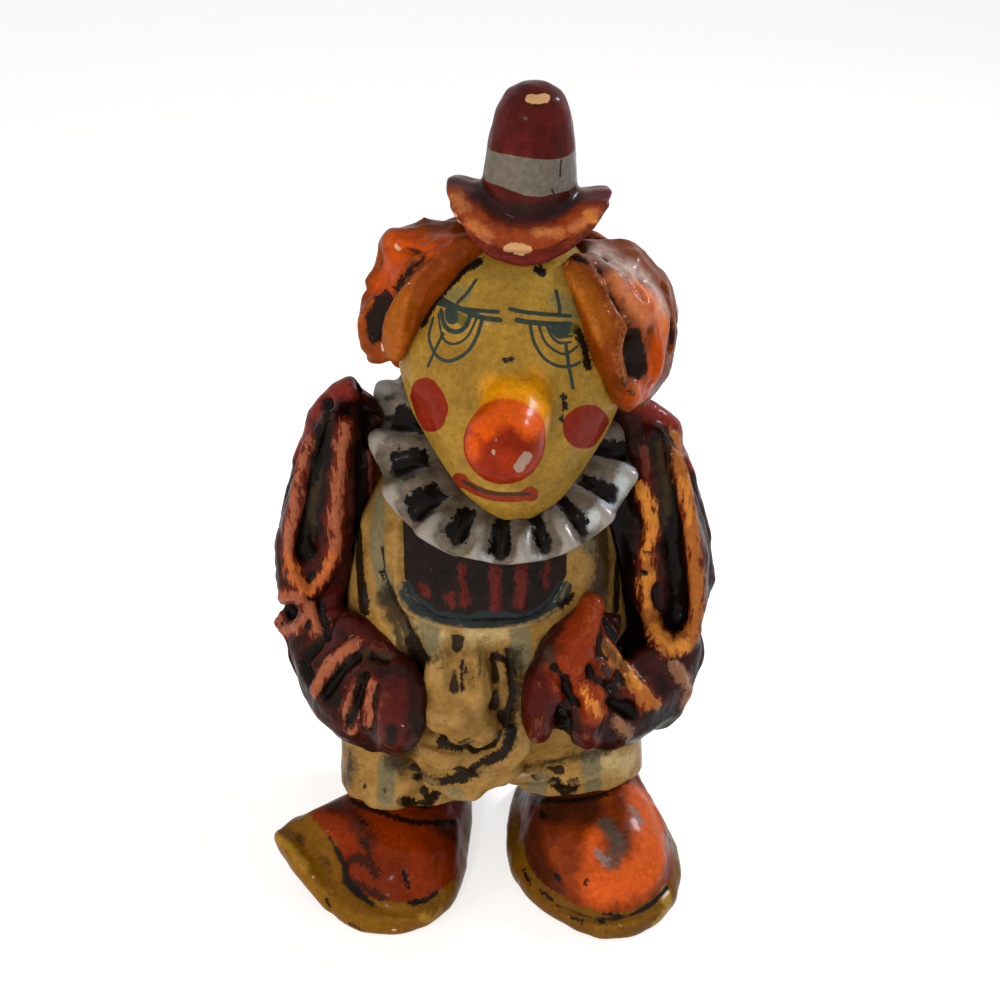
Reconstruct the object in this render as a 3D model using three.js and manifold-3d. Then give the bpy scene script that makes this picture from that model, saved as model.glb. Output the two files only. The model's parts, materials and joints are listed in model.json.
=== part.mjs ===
// A standing clown money box, cast hollow and painted, with a coin slot in its back and a
// rubber stopper under its seat. Millimetres, +Z up. The figure faces -Y, and left and right
// are as seen from the front. The origin is the middle of its footprint on the table.
import * as THREE from "three";
import { mergeVertices } from "three/addons/utils/BufferGeometryUtils.js";
import Module from "manifold-3d";

const wasm = await Module();
wasm.setup();

const radians = THREE.MathUtils.degToRad;
const lerp = THREE.MathUtils.lerp;
const point = (x, y, z) => new THREE.Vector3(x, y, z);

// Casting and fits
const wallThickness = 5; // of the hollow castings
const glueLine = 0.35; // left between two castings where they are stuck together
const seamY = 3; // the body casting is made in a front and a back half that meet here

// Body casting, from its underside to the neck
const bodyFloor = 44; // height of the underside above the table
const hipRise = 18; // of each station above the one below it
const bellyRise = 34;
const chestRise = 46;
const armpitRise = 26;
const shoulderRise = 18;
const neckRise = 14;
const hipHeight = bodyFloor + hipRise;
const bellyHeight = hipHeight + bellyRise;
const chestHeight = bellyHeight + chestRise;
const armpitHeight = chestHeight + armpitRise;
const shoulderHeight = armpitHeight + shoulderRise;
const neckTop = shoulderHeight + neckRise;
const seatHalfWidth = 50;
const hipHalfWidth = 59;
const bellyHalfWidth = 61;
const chestHalfWidth = 54;
const armpitHalfWidth = 46;
const shoulderHalfWidth = 26;
const neckHalfWidth = 17;
const seatHalfDepth = 43;
const hipHalfDepth = 50;
const bellyHalfDepth = 51;
const chestHalfDepth = 46;
const armpitHalfDepth = 37;
const shoulderHalfDepth = 25;
const neckHalfDepth = 17;
const bodySquareness = 2.4; // exponent of the oval sections: 2 is an ellipse
const basePlateThickness = 5; // of the plate that closes the underside

// Money slot, stopper hole and stopper
const slotLength = 40;
const slotHeight = 6;
const slotAboveArmpit = 0;
const stopperFromBack = 22; // of its middle, forward of the back edge of the underside
const stopperHoleRadius = 12.5;
const stopperFit = 0.3; // between the plug and its hole
const stopperPlugRise = 8; // of the plug above the plate's underside
const stopperTaper = 0.7; // lost from the plug's radius at its tip
const stopperFlangeRadius = 15.5;
const stopperFlangeThickness = 2.6;
const pullRecessRadius = 9.5;
const pullRecessDepth = 1.8;
const pullBarWidth = 4;

// Shirt front, let into the chest between the ruff and the waistband of the trousers
const shirtHalfWidth = 33;
const shirtFootDrop = 11; // of its lower edge below the chest
const shirtHeight = 37;
const shirtCornerRadius = 20;
const shirtRecess = 1.6; // of the shirt below the trousers' face
const shirtPlateThickness = 1.6;

// Head
const headAboveNeck = 22; // of its centre
const headCentre = point(11, -12, neckTop + headAboveNeck);
const headLean = 5.5; // degrees, towards the right
const headTurn = 5; // degrees, towards the left
const headHalfWidth = 44;
const headHalfDepth = 43;
const crownOfHead = 57; // above the head's centre
const chinDrop = 49; // below the head's centre
const chinForward = 18; // of the middle of the face
const chinAside = 6; // towards the right
const noseBallRadius = 14.5;
const noseBallCentre = point(1.5, -60, 2); // from the head's centre
const noseRoot = point(6, -33, 12);
const noseBridgeRadius = 12;

// Hat, on top of the head
const hatSeat = point(-1.5, 11, 58.5); // from the head's centre
const hatStraightening = 3; // degrees, back from the head's lean
const brimRadius = 31;
const brimThickness = 7;
const brimSideLift = 13;
const brimRise = 6; // of its middle, up to the foot of the crown
const brimFrontDrop = 6;
const hatCrownHeight = 51;
const hatCrownRadius = 18;
const hatTopRadius = 14;

// Ruff round the neck
const ruffBelowNeck = 13; // of its centre below the top of the neck
const ruffCentre = point(7, -8, neckTop - ruffBelowNeck);
const ruffTilt = 26; // degrees, front down
const ruffOuterRadius = 54;
const ruffInnerRadius = 24;
const ruffThickness = 10;
const ruffPleats = 20;
const pleatDepth = 3;
const shoulderReach = 9; // that the ruff stands out further, where it lies on the left shoulder
const shoulderTurn = 138; // degrees round to there from the right side

// Trouser legs
const legMiddleX = 2;
const legSpread = 35; // of each leg's middle from there
const legMiddleY = -12;
const legHalfWidth = 29.5;
const legHalfDepth = 25;
const leftHemHeight = 28;
const rightHemHeight = 37;
const hemFlare = 2.5;
const hemScallop = 2.5;

// Shoes
const soleThickness = 9;
const soleMargin = 6; // the sole stands out this far round the upper
const leftUpperShift = point(4, 3, 0); // of the left upper on its sole
const leftShoeHeight = 22; // of the upper above the sole
const rightShoeHeight = 29;
const cornerFlick = 16; // lift of the left shoe's outer corner
const cornerFlickFrom = 58; // distance left of the body's middle where the lift starts
const cornerFlickTo = 92;

// Fineness of the facets
const bodyRings = 11;
const bodySides = 24;
const hollowRings = 5;
const hollowSides = 12;
const rollRings = 5;
const rollSides = 7;
const outlineSides = 22;
const roundSides = 18;
const ruffSides = 5;

// Solids

// Makes a closed mesh a solid that can be cut and joined.
function solidOf(geometry) {
  const bare = geometry.clone();
  bare.deleteAttribute("normal");
  bare.deleteAttribute("uv");
  const merged = mergeVertices(bare);
  return new wasm.Manifold(
    new wasm.Mesh({
      numProp: 3,
      vertProperties: merged.attributes.position.array,
      triVerts: new Uint32Array(merged.index.array),
    }),
  );
}

function geometryOf(solid) {
  const mesh = solid.getMesh();
  const geometry = new THREE.BufferGeometry();
  geometry.setAttribute("position", new THREE.BufferAttribute(mesh.vertProperties, 3));
  geometry.setIndex(new THREE.BufferAttribute(mesh.triVerts, 1));
  geometry.computeVertexNormals();
  return geometry;
}

function meshed(positions, faces) {
  const geometry = new THREE.BufferGeometry();
  geometry.setAttribute("position", new THREE.Float32BufferAttribute(positions, 3));
  geometry.setIndex(faces);
  return solidOf(geometry);
}

// A skin through rings of points from pointAt(along, angle), closed by a fan at each end.
function loft(rings, sides, pointAt) {
  const positions = [];
  const ends = [point(0, 0, 0), point(0, 0, 0)];
  for (let step = 0; step <= rings; step += 1) {
    for (let side = 0; side < sides; side += 1) {
      const p = pointAt(step / rings, (side / sides) * 2 * Math.PI);
      positions.push(p.x, p.y, p.z);
      if (step === 0) ends[0].addScaledVector(p, 1 / sides);
      if (step === rings) ends[1].addScaledVector(p, 1 / sides);
    }
  }
  positions.push(...ends[0], ...ends[1]);
  const faces = [];
  const last = rings * sides;
  const foot = last + sides;
  for (let side = 0; side < sides; side += 1) {
    const next = (side + 1) % sides;
    for (let step = 0; step < rings; step += 1) {
      const low = step * sides;
      const high = low + sides;
      faces.push(low + side, low + next, high + next);
      faces.push(low + side, high + next, high + side);
    }
    faces.push(foot, next, side);
    faces.push(foot + 1, last + side, last + next);
  }
  return meshed(positions, faces);
}

// A closed ring of sections, from pointAt(angle round the ring, angle round the section).
function hoop(steps, sides, pointAt) {
  const positions = [];
  const faces = [];
  for (let step = 0; step < steps; step += 1) {
    const here = step * sides;
    const onward = ((step + 1) % steps) * sides;
    for (let side = 0; side < sides; side += 1) {
      const next = (side + 1) % sides;
      const p = pointAt((step / steps) * 2 * Math.PI, (side / sides) * 2 * Math.PI);
      positions.push(p.x, p.y, p.z);
      faces.push(here + side, onward + side, onward + next);
      faces.push(here + side, onward + next, here + next);
    }
  }
  return meshed(positions, faces);
}

// A round-ended roll of plaster along a smooth curve, whose radius runs through radii.
function roll(points, radii, { grow = 0, sides = rollSides, rings = rollRings } = {}) {
  const curve = new THREE.CatmullRomCurve3(points);
  const frames = curve.computeFrenetFrames(rings, false);
  const stations = radii.map((radius, i) => [i / (radii.length - 1), radius]);
  const tangents = [curve.getTangentAt(0), curve.getTangentAt(1)];
  return loft(rings, sides, (along, angle) => {
    const index = Math.round(along * rings);
    const radius = fair(stations, along) * roundEnd(along) + grow;
    const p = curve.getPointAt(along);
    p.addScaledVector(frames.normals[index], Math.cos(angle) * radius);
    p.addScaledVector(frames.binormals[index], Math.sin(angle) * radius);
    if (along === 0) p.addScaledVector(tangents[0], -grow - radii[0] / 3);
    if (along === 1) p.addScaledVector(tangents[1], grow + radii.at(-1) / 3);
    return p;
  });
}

const rolls = (list, options) => join(...list.map(([points, radii]) => roll(points, radii, options)));

// Narrows both ends of a roll, so that they are round and not cut off.
function roundEnd(along) {
  const bluntness = 6;
  const least = 0.45;
  return Math.max(least, Math.sqrt(1 - Math.abs(2 * along - 1) ** bluntness));
}

// A smooth curve through stations of [place, value], level beyond the ends.
function fair(stations, at) {
  const last = stations.length - 1;
  const place = (i) => stations[i][0];
  const value = (i) => stations[i][1];
  const slope = (i) => {
    const before = Math.max(0, i - 1);
    const after = Math.min(last, i + 1);
    return (value(after) - value(before)) / (place(after) - place(before));
  };
  if (at <= place(0)) return value(0);
  if (at >= place(last)) return value(last);
  let i = 0;
  while (at > place(i + 1)) i += 1;
  const span = place(i + 1) - place(i);
  const u = (at - place(i)) / span;
  const level = value(i) * (1 + 2 * u) * (1 - u) ** 2 + value(i + 1) * u * u * (3 - 2 * u);
  return level + span * (slope(i) * u * (1 - u) ** 2 + slope(i + 1) * u * u * (u - 1));
}

// A point of an oval section. Squareness 2 is an ellipse, and more is squarer.
function oval(angle, halfWidth, halfDepth, squareness) {
  const power = 2 / squareness;
  const round = (s) => Math.sign(s) * Math.abs(s) ** power;
  return [halfWidth * round(Math.cos(angle)), halfDepth * round(Math.sin(angle))];
}

// A box from its lowest to its highest corner.
function block(low, high) {
  const size = high.clone().sub(low);
  const geometry = new THREE.BoxGeometry(size.x, size.y, size.z);
  geometry.translate(...low.clone().add(high).multiplyScalar(0.5));
  return solidOf(geometry);
}

// A turned solid on the Z axis, from its profile of [radius, height].
function turned(profile, sides) {
  const geometry = new THREE.LatheGeometry(profile.map(([x, y]) => new THREE.Vector2(x, y)), sides);
  geometry.rotateX(Math.PI / 2);
  return solidOf(geometry);
}

const join = (...solids) => solids.reduce((whole, solid) => whole.add(solid));
const beyond = 400; // past everything

// What is left of a solid, without the crumbs that a cut can leave.
function cut(solid, ...tools) {
  const bodies = tools.reduce((rest, tool) => rest.subtract(tool), solid).decompose();
  return bodies.reduce((best, body) => (body.volume() > best.volume() ? body : best));
}

// Body

const torsoStations = [
  [bodyFloor, seatHalfWidth, seatHalfDepth, 6],
  [hipHeight, hipHalfWidth, hipHalfDepth, 4],
  [bellyHeight, bellyHalfWidth, bellyHalfDepth, 2],
  [chestHeight, chestHalfWidth, chestHalfDepth, 1],
  [armpitHeight, armpitHalfWidth, armpitHalfDepth, 4],
  [shoulderHeight, shoulderHalfWidth, shoulderHalfDepth, 6],
  [neckTop, neckHalfWidth, neckHalfDepth, 6],
];
const [torsoWidths, torsoDepths, torsoMiddles] = [1, 2, 3].map((column) =>
  torsoStations.map((station) => [station[0], station[column]]),
);

function torso({ grow = 0, rings = bodyRings, sides = bodySides } = {}) {
  return loft(rings, sides, (along, angle) => {
    const z = lerp(bodyFloor - grow, neckTop + grow, along);
    const [halfWidth, halfDepth] = [fair(torsoWidths, z) + grow, fair(torsoDepths, z) + grow];
    const [x, y] = oval(angle, halfWidth, halfDepth, bodySquareness);
    return point(x, y + fair(torsoMiddles, z), z);
  });
}

// A point that stands off the front of the body.
function ahead(x, off, z) {
  const share = Math.min(1, Math.abs(x) / fair(torsoWidths, z));
  const depth = fair(torsoDepths, z) * (1 - share ** bodySquareness) ** (1 / bodySquareness);
  return point(x, fair(torsoMiddles, z) - depth - off, z);
}

// A point that stands off the body's left or right side, or above the armpits off their line.
const left = -1;
const right = 1;
const beside = (side, off, y, z) => point(side * (fair(torsoWidths, Math.min(z, armpitHeight)) + off), y, z);

const torsoHollow = torso({ grow: -wallThickness, rings: hollowRings, sides: hollowSides });
const torsoSeat = torso({ grow: glueLine });
const basePlateTop = bodyFloor + basePlateThickness;
const stopperCentreY = fair(torsoMiddles, bodyFloor) + seatHalfDepth - stopperFromBack;
const slotCentre = armpitHeight + slotAboveArmpit;
const slotCut = block(
  point(-slotLength / 2, seamY, slotCentre - slotHeight / 2),
  point(slotLength / 2, beyond, slotCentre + slotHeight / 2),
);

// An upright U, square at the top, that reaches forward from the body's middle.
function shirtPrism(inset) {
  const halfWidth = shirtHalfWidth - inset;
  const foot = chestHeight - shirtFootDrop;
  const bottom = foot + inset;
  const top = foot + shirtHeight - inset;
  const radius = shirtCornerRadius - inset;
  const shape = new THREE.Shape();
  shape.moveTo(-halfWidth, top);
  shape.lineTo(-halfWidth, bottom + radius);
  shape.absarc(-halfWidth + radius, bottom + radius, radius, Math.PI, 1.5 * Math.PI, false);
  shape.absarc(halfWidth - radius, bottom + radius, radius, 1.5 * Math.PI, 2 * Math.PI, false);
  shape.lineTo(halfWidth, top);
  const options = { depth: beyond, bevelEnabled: false, curveSegments: 5 };
  const geometry = new THREE.ExtrudeGeometry(shape, options);
  geometry.rotateX(Math.PI / 2);
  return solidOf(geometry);
}

const shirtBack = shirtRecess + shirtPlateThickness;
const shirtPocket = shirtPrism(0).subtract(torso({ grow: -shirtBack - glueLine }));

// Head, in its own frame

const head = new THREE.Group();
head.position.copy(headCentre);
head.rotation.set(0, radians(headLean), radians(-headTurn));
head.updateMatrix();
const inFigure = (solid) => solid.transform(head.matrix.elements);
const inHead = (solid) => solid.transform(head.matrix.clone().invert().elements);

// Share of the skull's full width and depth from the chin to the crown.
const skullShares = [
  [-chinDrop, 0.2],
  [-0.8 * chinDrop, 0.48],
  [-0.5 * chinDrop, 0.72],
  [-0.15 * chinDrop, 0.93],
  [0.12 * crownOfHead, 1],
  [0.5 * crownOfHead, 0.89],
  [0.82 * crownOfHead, 0.63],
  [crownOfHead, 0.2],
];
const skullSquareness = 2.15;

function skull({ grow = 0, rings = 10, sides = 20 } = {}) {
  return loft(rings, sides, (along, angle) => {
    const share = 0.5 - 0.5 * Math.cos(Math.PI * along);
    const z = lerp(-chinDrop - grow, crownOfHead + grow, share);
    const width = fair(skullShares, z);
    const [x, y] = oval(angle, headHalfWidth * width + grow, headHalfDepth * width + grow, skullSquareness);
    const jaw = Math.max(0, -z / chinDrop) ** 1.5;
    return point(x + chinAside * jaw, y - chinForward * jaw, z);
  });
}

const skullHollow = skull({ grow: -wallThickness, rings: hollowRings, sides: hollowSides });
const skullSeat = skull({ grow: glueLine });
const headShell = cut(skull(), skullHollow, inHead(torsoHollow));

const noseBridge = roll(
  [noseRoot, noseRoot.clone().lerp(noseBallCentre, 0.5), noseBallCentre],
  [noseBridgeRadius, noseBallRadius],
  { sides: 10 },
);
const noseBall = new THREE.SphereGeometry(noseBallRadius, 12, 8).translate(...noseBallCentre);
const nose = cut(join(noseBridge, solidOf(noseBall)), skullSeat);

// Hat, in the head's frame

const hatPlace = new THREE.Matrix4().makeRotationY(radians(-hatStraightening)).setPosition(hatSeat);

// The brim is a thick round sheet whose sides curl up and whose front and back dip.
function brim(grow = 0) {
  const hub = 0.12;
  const edgeRoundness = 0.5;
  const solid = loft(8, 20, (along, angle) => {
    const turn = lerp(-0.5, 0.5, along) * Math.PI;
    const reach = lerp(hub, 1, Math.max(0, Math.cos(turn)) ** edgeRoundness);
    const x = (brimRadius + grow) * reach * Math.cos(angle);
    const y = (brimRadius + grow) * reach * Math.sin(angle);
    const curl = (x / brimRadius) ** 2 * brimSideLift - (y / brimRadius) ** 2 * brimFrontDrop;
    const rise = brimRise * (1 - reach ** 2);
    return point(x, y, curl + rise + Math.sin(turn) * (brimThickness / 2 + grow));
  });
  return solid.transform(hatPlace.elements);
}

const brimSeat = brim(glueLine);
const hatBrim = cut(brim(), skullSeat);
const hatCrownProfile = [
  [0, 0],
  [hatCrownRadius, 0],
  [lerp(hatCrownRadius, hatTopRadius, 0.15), 0.32 * hatCrownHeight],
  [lerp(hatCrownRadius, hatTopRadius, 0.55), 0.6 * hatCrownHeight],
  [0.96 * hatTopRadius, 0.8 * hatCrownHeight],
  [0.72 * hatTopRadius, 0.93 * hatCrownHeight],
  [0.35 * hatTopRadius, 0.99 * hatCrownHeight],
  [0, hatCrownHeight],
];
const hatCrown = cut(turned(hatCrownProfile, roundSides).transform(hatPlace.elements), brimSeat, skullSeat);

// Hair, in the head's frame: thick locks that hang from under the hat, by their curves and radii

const leftLocks = [
  [[point(-20, -10, 53), point(-32, -15, 46), point(-41, -18, 31), point(-44, -18, 12)], [8, 9, 8, 6]],
  [[point(-22, -5, 51), point(-36, -9, 43), point(-44, -12, 28), point(-48, -15, 10)], [9, 10, 9, 7]],
  [[point(-25, 2, 54), point(-44, 0, 51), point(-51, -6, 30), point(-51, -13, 7)], [8, 8, 8, 7]],
  [[point(-20, 8, 48), point(-37, 12, 38), point(-45, 13, 18), point(-44, 11, -4)], [10, 11, 11, 8]],
];
const rightLocks = [
  [[point(19, -12, 52), point(28, -22, 42), point(37, -25, 24), point(44, -18, 3)], [9, 9, 9, 7]],
  [[point(22, -6, 50), point(36, -13, 42), point(44, -14, 24), point(47, -13, 4)], [9, 10, 9, 8]],
  [[point(24, 6, 50), point(40, 4, 42), point(50, 1, 22), point(48, -5, -2)], [9, 10, 10, 7]],
  [[point(20, 10, 48), point(40, 14, 40), point(50, 16, 18), point(45, 14, -4)], [10, 12, 11, 8]],
];
const backLockCount = 5;
const firstBackLock = 30; // degrees behind the right ear, and the last is as far behind the left
const backLocks = Array.from({ length: backLockCount }, (_, i) => {
  const turn = radians(lerp(firstBackLock, 180 - firstBackLock, i / (backLockCount - 1)));
  const out = (radius, z) => point(radius * Math.cos(turn), radius * Math.sin(turn), z);
  const hang = i % 2 === 0 ? -6 : -2;
  return [[out(14, 46), out(34, 42), out(44, 22), out(42, hang)], [9, 14, 15, 10]];
});

const hairTools = [skullSeat, brimSeat];
const hairLeft = cut(rolls(leftLocks), ...hairTools);
const hairRight = cut(rolls(rightLocks), ...hairTools);
const sideHairSeat = join(rolls(leftLocks, { grow: glueLine }), rolls(rightLocks, { grow: glueLine }));
const hairBack = cut(rolls(backLocks), ...hairTools, sideHairSeat);
const hairSeat = inFigure(join(sideHairSeat, rolls(backLocks, { grow: glueLine })));
const headSeat = inFigure(skullSeat);

const shirtPlate = cut(
  shirtPrism(glueLine).intersect(torso({ grow: -shirtRecess })),
  torso({ grow: -shirtBack }),
  headSeat,
);

// Ruff

function ruff(grow = 0) {
  const tilt = new THREE.Matrix4().makeRotationX(radians(ruffTilt));
  const middle = (ruffInnerRadius + ruffOuterRadius) / 2;
  const half = (ruffOuterRadius - ruffInnerRadius) / 2 + grow;
  const stepsPerPleat = 4;
  return hoop(ruffPleats * stepsPerPleat, ruffSides, (turn, section) => {
    const wave = -Math.cos(ruffPleats * turn); // a valley lies right in front
    const reach = (1 + Math.cos(section)) / 2;
    const shoulder = Math.max(0, Math.cos(turn - radians(shoulderTurn))) ** 6 * shoulderReach;
    const radius = middle + half * Math.cos(section) + reach * (wave + shoulder);
    const level = (ruffThickness / 2 + grow) * Math.sin(section) + pleatDepth * wave * reach;
    const p = point(radius * Math.cos(turn), radius * Math.sin(turn), level);
    return p.applyMatrix4(tilt).add(ruffCentre);
  });
}

const ruffSolid = cut(ruff(), headSeat, torsoSeat, hairSeat);
const ruffSeat = ruff(glueLine);

// Sleeves: an arm and the two ridges that stand either side of its long hollow

const elbowHeight = bellyHeight + 14;
const leftShoulder = [
  [beside(left, -24, 10, shoulderHeight - 4), beside(left, -8, 10, shoulderHeight - 4)]
    .concat([beside(left, 8, 4, shoulderHeight)]),
  [13, 14, 14],
];
const rightShoulder = [
  [beside(right, -24, 10, shoulderHeight - 6), beside(right, -6, 10, shoulderHeight - 6)]
    .concat([beside(right, 14, 4, shoulderHeight - 4)]),
  [13, 14, 14],
];
const leftArm = [
  [beside(left, 4, 4, shoulderHeight + 21), beside(left, 12, 3, armpitHeight + 16)]
    .concat([beside(left, 14, 1, chestHeight), beside(left, 13, -2, elbowHeight)]),
  [13, 17, 18, 20],
];
const leftRidges = [
  leftShoulder,
  [
    [beside(left, 14, -10, shoulderHeight + 19), beside(left, 23, -14, armpitHeight + 8)]
      .concat([beside(left, 25, -15, chestHeight - 4), beside(left, 14, -22, elbowHeight)]),
    [6, 7, 6.5, 6],
  ],
  [
    [beside(left, 1, -14, shoulderHeight + 16), beside(left, 1, -21, armpitHeight + 6)]
      .concat([beside(left, 0, -25, chestHeight), beside(left, 6, -27, elbowHeight)]),
    [6, 7, 6.5, 6],
  ],
];
const rightArm = [
  [beside(right, 9, 5, shoulderHeight + 14), beside(right, 20, 3, armpitHeight + 6)]
    .concat([beside(right, 21, 1, chestHeight - 6), beside(right, 21, -2, elbowHeight - 4)]),
  [15, 17, 18, 20],
];
const rightRidges = [
  rightShoulder,
  [
    [beside(right, 23, -10, shoulderHeight + 10), beside(right, 29, -14, armpitHeight + 2)]
      .concat([beside(right, 30, -16, chestHeight - 6), beside(right, 24, -20, elbowHeight - 4)]),
    [6, 6.5, 6.5, 6],
  ],
  [
    [beside(right, 11, -18, armpitHeight + 14), beside(right, 7, -23, chestHeight + 8)]
      .concat([beside(right, 3, -26, chestHeight - 14), beside(right, 8, -27, elbowHeight)]),
    [5, 6, 6, 6],
  ],
  [
    [beside(right, 2, -2, armpitHeight + 4), beside(right, 5, -4, chestHeight - 6)]
      .concat([beside(right, 7, -6, elbowHeight - 2)]),
    [11, 13, 13],
  ],
];

// Cuffs: a puffed lower arm with folds across it, and a hand tucked in at the end

const wristHeight = hipHeight + 20;
const leftForearm = [
  [beside(left, 12, -4, elbowHeight - 6), beside(left, 1, -22, wristHeight + 13)]
    .concat([ahead(-50, 8, wristHeight + 4), ahead(-42, 8, wristHeight)]),
  [18, 18, 18, 15],
];
const leftCuffFolds = [
  [
    [beside(left, 2, -22, elbowHeight + 6), ahead(-44, 2, elbowHeight), ahead(-33, 3, elbowHeight - 9)],
    [9, 10, 9],
  ],
  [
    [beside(left, 26, -8, elbowHeight - 5), beside(left, 4, -26, elbowHeight - 4)]
      .concat([ahead(-42, 14, elbowHeight - 2)]),
    [6, 7, 6],
  ],
  [
    [beside(left, 19, -8, wristHeight + 6), beside(left, 0, -38, wristHeight + 14)]
      .concat([ahead(-42, 16, wristHeight + 10)]),
    [6, 7, 6],
  ],
  [
    [beside(left, 7, -16, wristHeight - 10), ahead(-54, 18, wristHeight - 4)]
      .concat([ahead(-46, 14, wristHeight - 10)]),
    [6, 7, 6],
  ],
  [
    [ahead(-31, 6, wristHeight + 30), ahead(-33, 12, wristHeight + 16), ahead(-37, 10, wristHeight - 6)],
    [8, 11, 10],
  ],
];
const rightForearm = [
  [beside(right, 20, -4, elbowHeight - 6), beside(right, 8, -22, wristHeight + 11)]
    .concat([ahead(50, 9, wristHeight + 4), ahead(36, 6, wristHeight + 4)]),
  [19, 19, 19, 16],
];
const rightCuffFolds = [
  [
    [ahead(42, 4, elbowHeight + 22), ahead(28, 9, elbowHeight + 6), ahead(21, 8, wristHeight + 6)],
    [8, 10, 10],
  ],
  [
    [ahead(51, 8, elbowHeight + 14), ahead(42, 16, elbowHeight), ahead(40, 14, wristHeight - 2)],
    [7, 8, 8],
  ],
  [
    [beside(right, 4, -26, elbowHeight - 4), ahead(57, 19, wristHeight + 14)]
      .concat([ahead(56, 16, wristHeight - 8)]),
    [7, 8, 7],
  ],
  [
    [beside(right, 25, -16, wristHeight + 14), beside(right, 15, -34, wristHeight)]
      .concat([beside(right, 9, -28, wristHeight - 14)]),
    [6, 7, 6],
  ],
];

const armFineness = { sides: 10, rings: 6 };
const limb = ([points, radii], folds, grow = 0) =>
  join(roll(points, radii, { grow, ...armFineness }), rolls(folds, { grow }));
const sleeveTools = [torsoSeat, ruffSeat, headSeat, hairSeat];
const sleeveLeft = cut(limb(leftArm, leftRidges), ...sleeveTools);
const sleeveRight = cut(limb(rightArm, rightRidges), ...sleeveTools);
const cuffLeft = cut(limb(leftForearm, leftCuffFolds), torsoSeat, limb(leftArm, leftRidges, glueLine));
const cuffRight = cut(limb(rightForearm, rightCuffFolds), torsoSeat, limb(rightArm, rightRidges, glueLine));
const cuffSeat = join(
  limb(leftForearm, leftCuffFolds, glueLine),
  limb(rightForearm, rightCuffFolds, glueLine),
);

// Folds of the trousers, heaped between the legs

const foldHeap = hipHeight + 4;
const upperFolds = [
  [[ahead(-16, 0, foldHeap + 56), ahead(-18, 4, foldHeap + 46), ahead(-18, 5, foldHeap + 34)], [5, 6, 7]],
  [[ahead(-5, 0, foldHeap + 57), ahead(-4, 4, foldHeap + 46), ahead(-3, 5, foldHeap + 31)], [5, 7, 8]],
  [[ahead(-21, 3, foldHeap + 31), ahead(-14, 6, foldHeap + 29), ahead(-6, 5, foldHeap + 30)], [10, 11, 10]],
  [[ahead(-12, 4, foldHeap + 24), ahead(-5, 6, foldHeap + 20), ahead(1, 3, foldHeap + 22)], [9, 9, 9]],
];
const middleFolds = [
  [[ahead(-25, 2, foldHeap + 10), ahead(-18, 5, foldHeap + 6), ahead(-10, 4, foldHeap + 5)], [7, 8, 7]],
  [
    [ahead(-8, 3, foldHeap), ahead(4, 4, foldHeap), ahead(13, 2, foldHeap + 10), ahead(14, 0, foldHeap + 24)],
    [7, 8, 7, 4],
  ],
];
const lowerFolds = [
  [[ahead(-26, 0, foldHeap - 8), ahead(-8, 3, foldHeap - 14), ahead(12, 0, foldHeap - 8)], [6, 8, 6]],
];
const upperFoldSeat = rolls(upperFolds, { grow: glueLine });
const middleFoldSeat = rolls(middleFolds, { grow: glueLine });
const foldUpper = cut(rolls(upperFolds), torsoSeat, cuffSeat);
const foldMiddle = cut(rolls(middleFolds), torsoSeat, cuffSeat, upperFoldSeat);
const foldLower = cut(rolls(lowerFolds), torsoSeat, cuffSeat, upperFoldSeat, middleFoldSeat);
const foldSeat = join(upperFoldSeat, middleFoldSeat, rolls(lowerFolds, { grow: glueLine }));

// Shoes: plates and domes on an outline that goes round from the right side by the heel

const leftShoe = [
  point(-8, 0, 0),
  point(-14, 18, 0),
  point(-34, 25, 0),
  point(-56, 12, 0),
  point(-68, -18, 0),
  point(-90, -47, 0),
  point(-72, -66, 0),
  point(-42, -84, 0),
  point(-18, -73, 0),
  point(-9, -38, 0),
];
const rightShoe = [
  point(76, -14, 0),
  point(68, 12, 0),
  point(46, 24, 0),
  point(20, 14, 0),
  point(11, -14, 0),
  point(12, -50, 0),
  point(30, -76, 0),
  point(54, -86, 0),
  point(78, -70, 0),
  point(83, -42, 0),
];

// Stacks rings of [share of the outline's reach, height], each drawn in by margin.
function stack(outline, margin, profile) {
  const curve = new THREE.CatmullRomCurve3(outline, true);
  const middle = outline.reduce((sum, p) => sum.add(p), point(0, 0, 0)).divideScalar(outline.length);
  return loft(profile.length - 1, outlineSides, (along, angle) => {
    const [share, height] = profile[Math.round(along * (profile.length - 1))];
    const edge = curve.getPointAt(angle / (2 * Math.PI)).sub(middle);
    edge.setLength((edge.length() - margin) * share);
    const x = middle.x + edge.x;
    const flick = THREE.MathUtils.smoothstep(-x, cornerFlickFrom, cornerFlickTo) * cornerFlick;
    return point(x, middle.y + edge.y, height + flick);
  });
}

function sole(outline, grow = 0) {
  const rounding = 1.5;
  const flat = 0.3; // share of the outline that stays level, short of the flicked corner
  const profile = [
    [flat, -grow],
    [0.97, -grow],
    [1, rounding],
    [1, soleThickness - rounding],
    [0.97, soleThickness + grow],
    [flat, soleThickness + grow],
  ];
  return stack(outline, -grow, profile);
}

function upper(outline, height, grow = 0) {
  const rings = 6;
  const bulge = 2.6; // more is boxier
  const profile = Array.from({ length: rings + 1 }, (_, i) => {
    const share = Math.cos((0.49 * Math.PI * i) / rings);
    return [share, soleThickness - grow + (height + 2 * grow) * Math.sqrt(1 - share ** bulge)];
  });
  return stack(outline, soleMargin - grow, profile);
}

const leftUpperOutline = leftShoe.map((p) => p.clone().add(leftUpperShift));
const upperLeft = cut(upper(leftUpperOutline, leftShoeHeight), sole(leftShoe, glueLine));
const upperRight = cut(upper(rightShoe, rightShoeHeight), sole(rightShoe, glueLine));
const shoeSeat = join(
  upper(leftUpperOutline, leftShoeHeight, glueLine),
  upper(rightShoe, rightShoeHeight, glueLine),
);

// Legs

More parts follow.
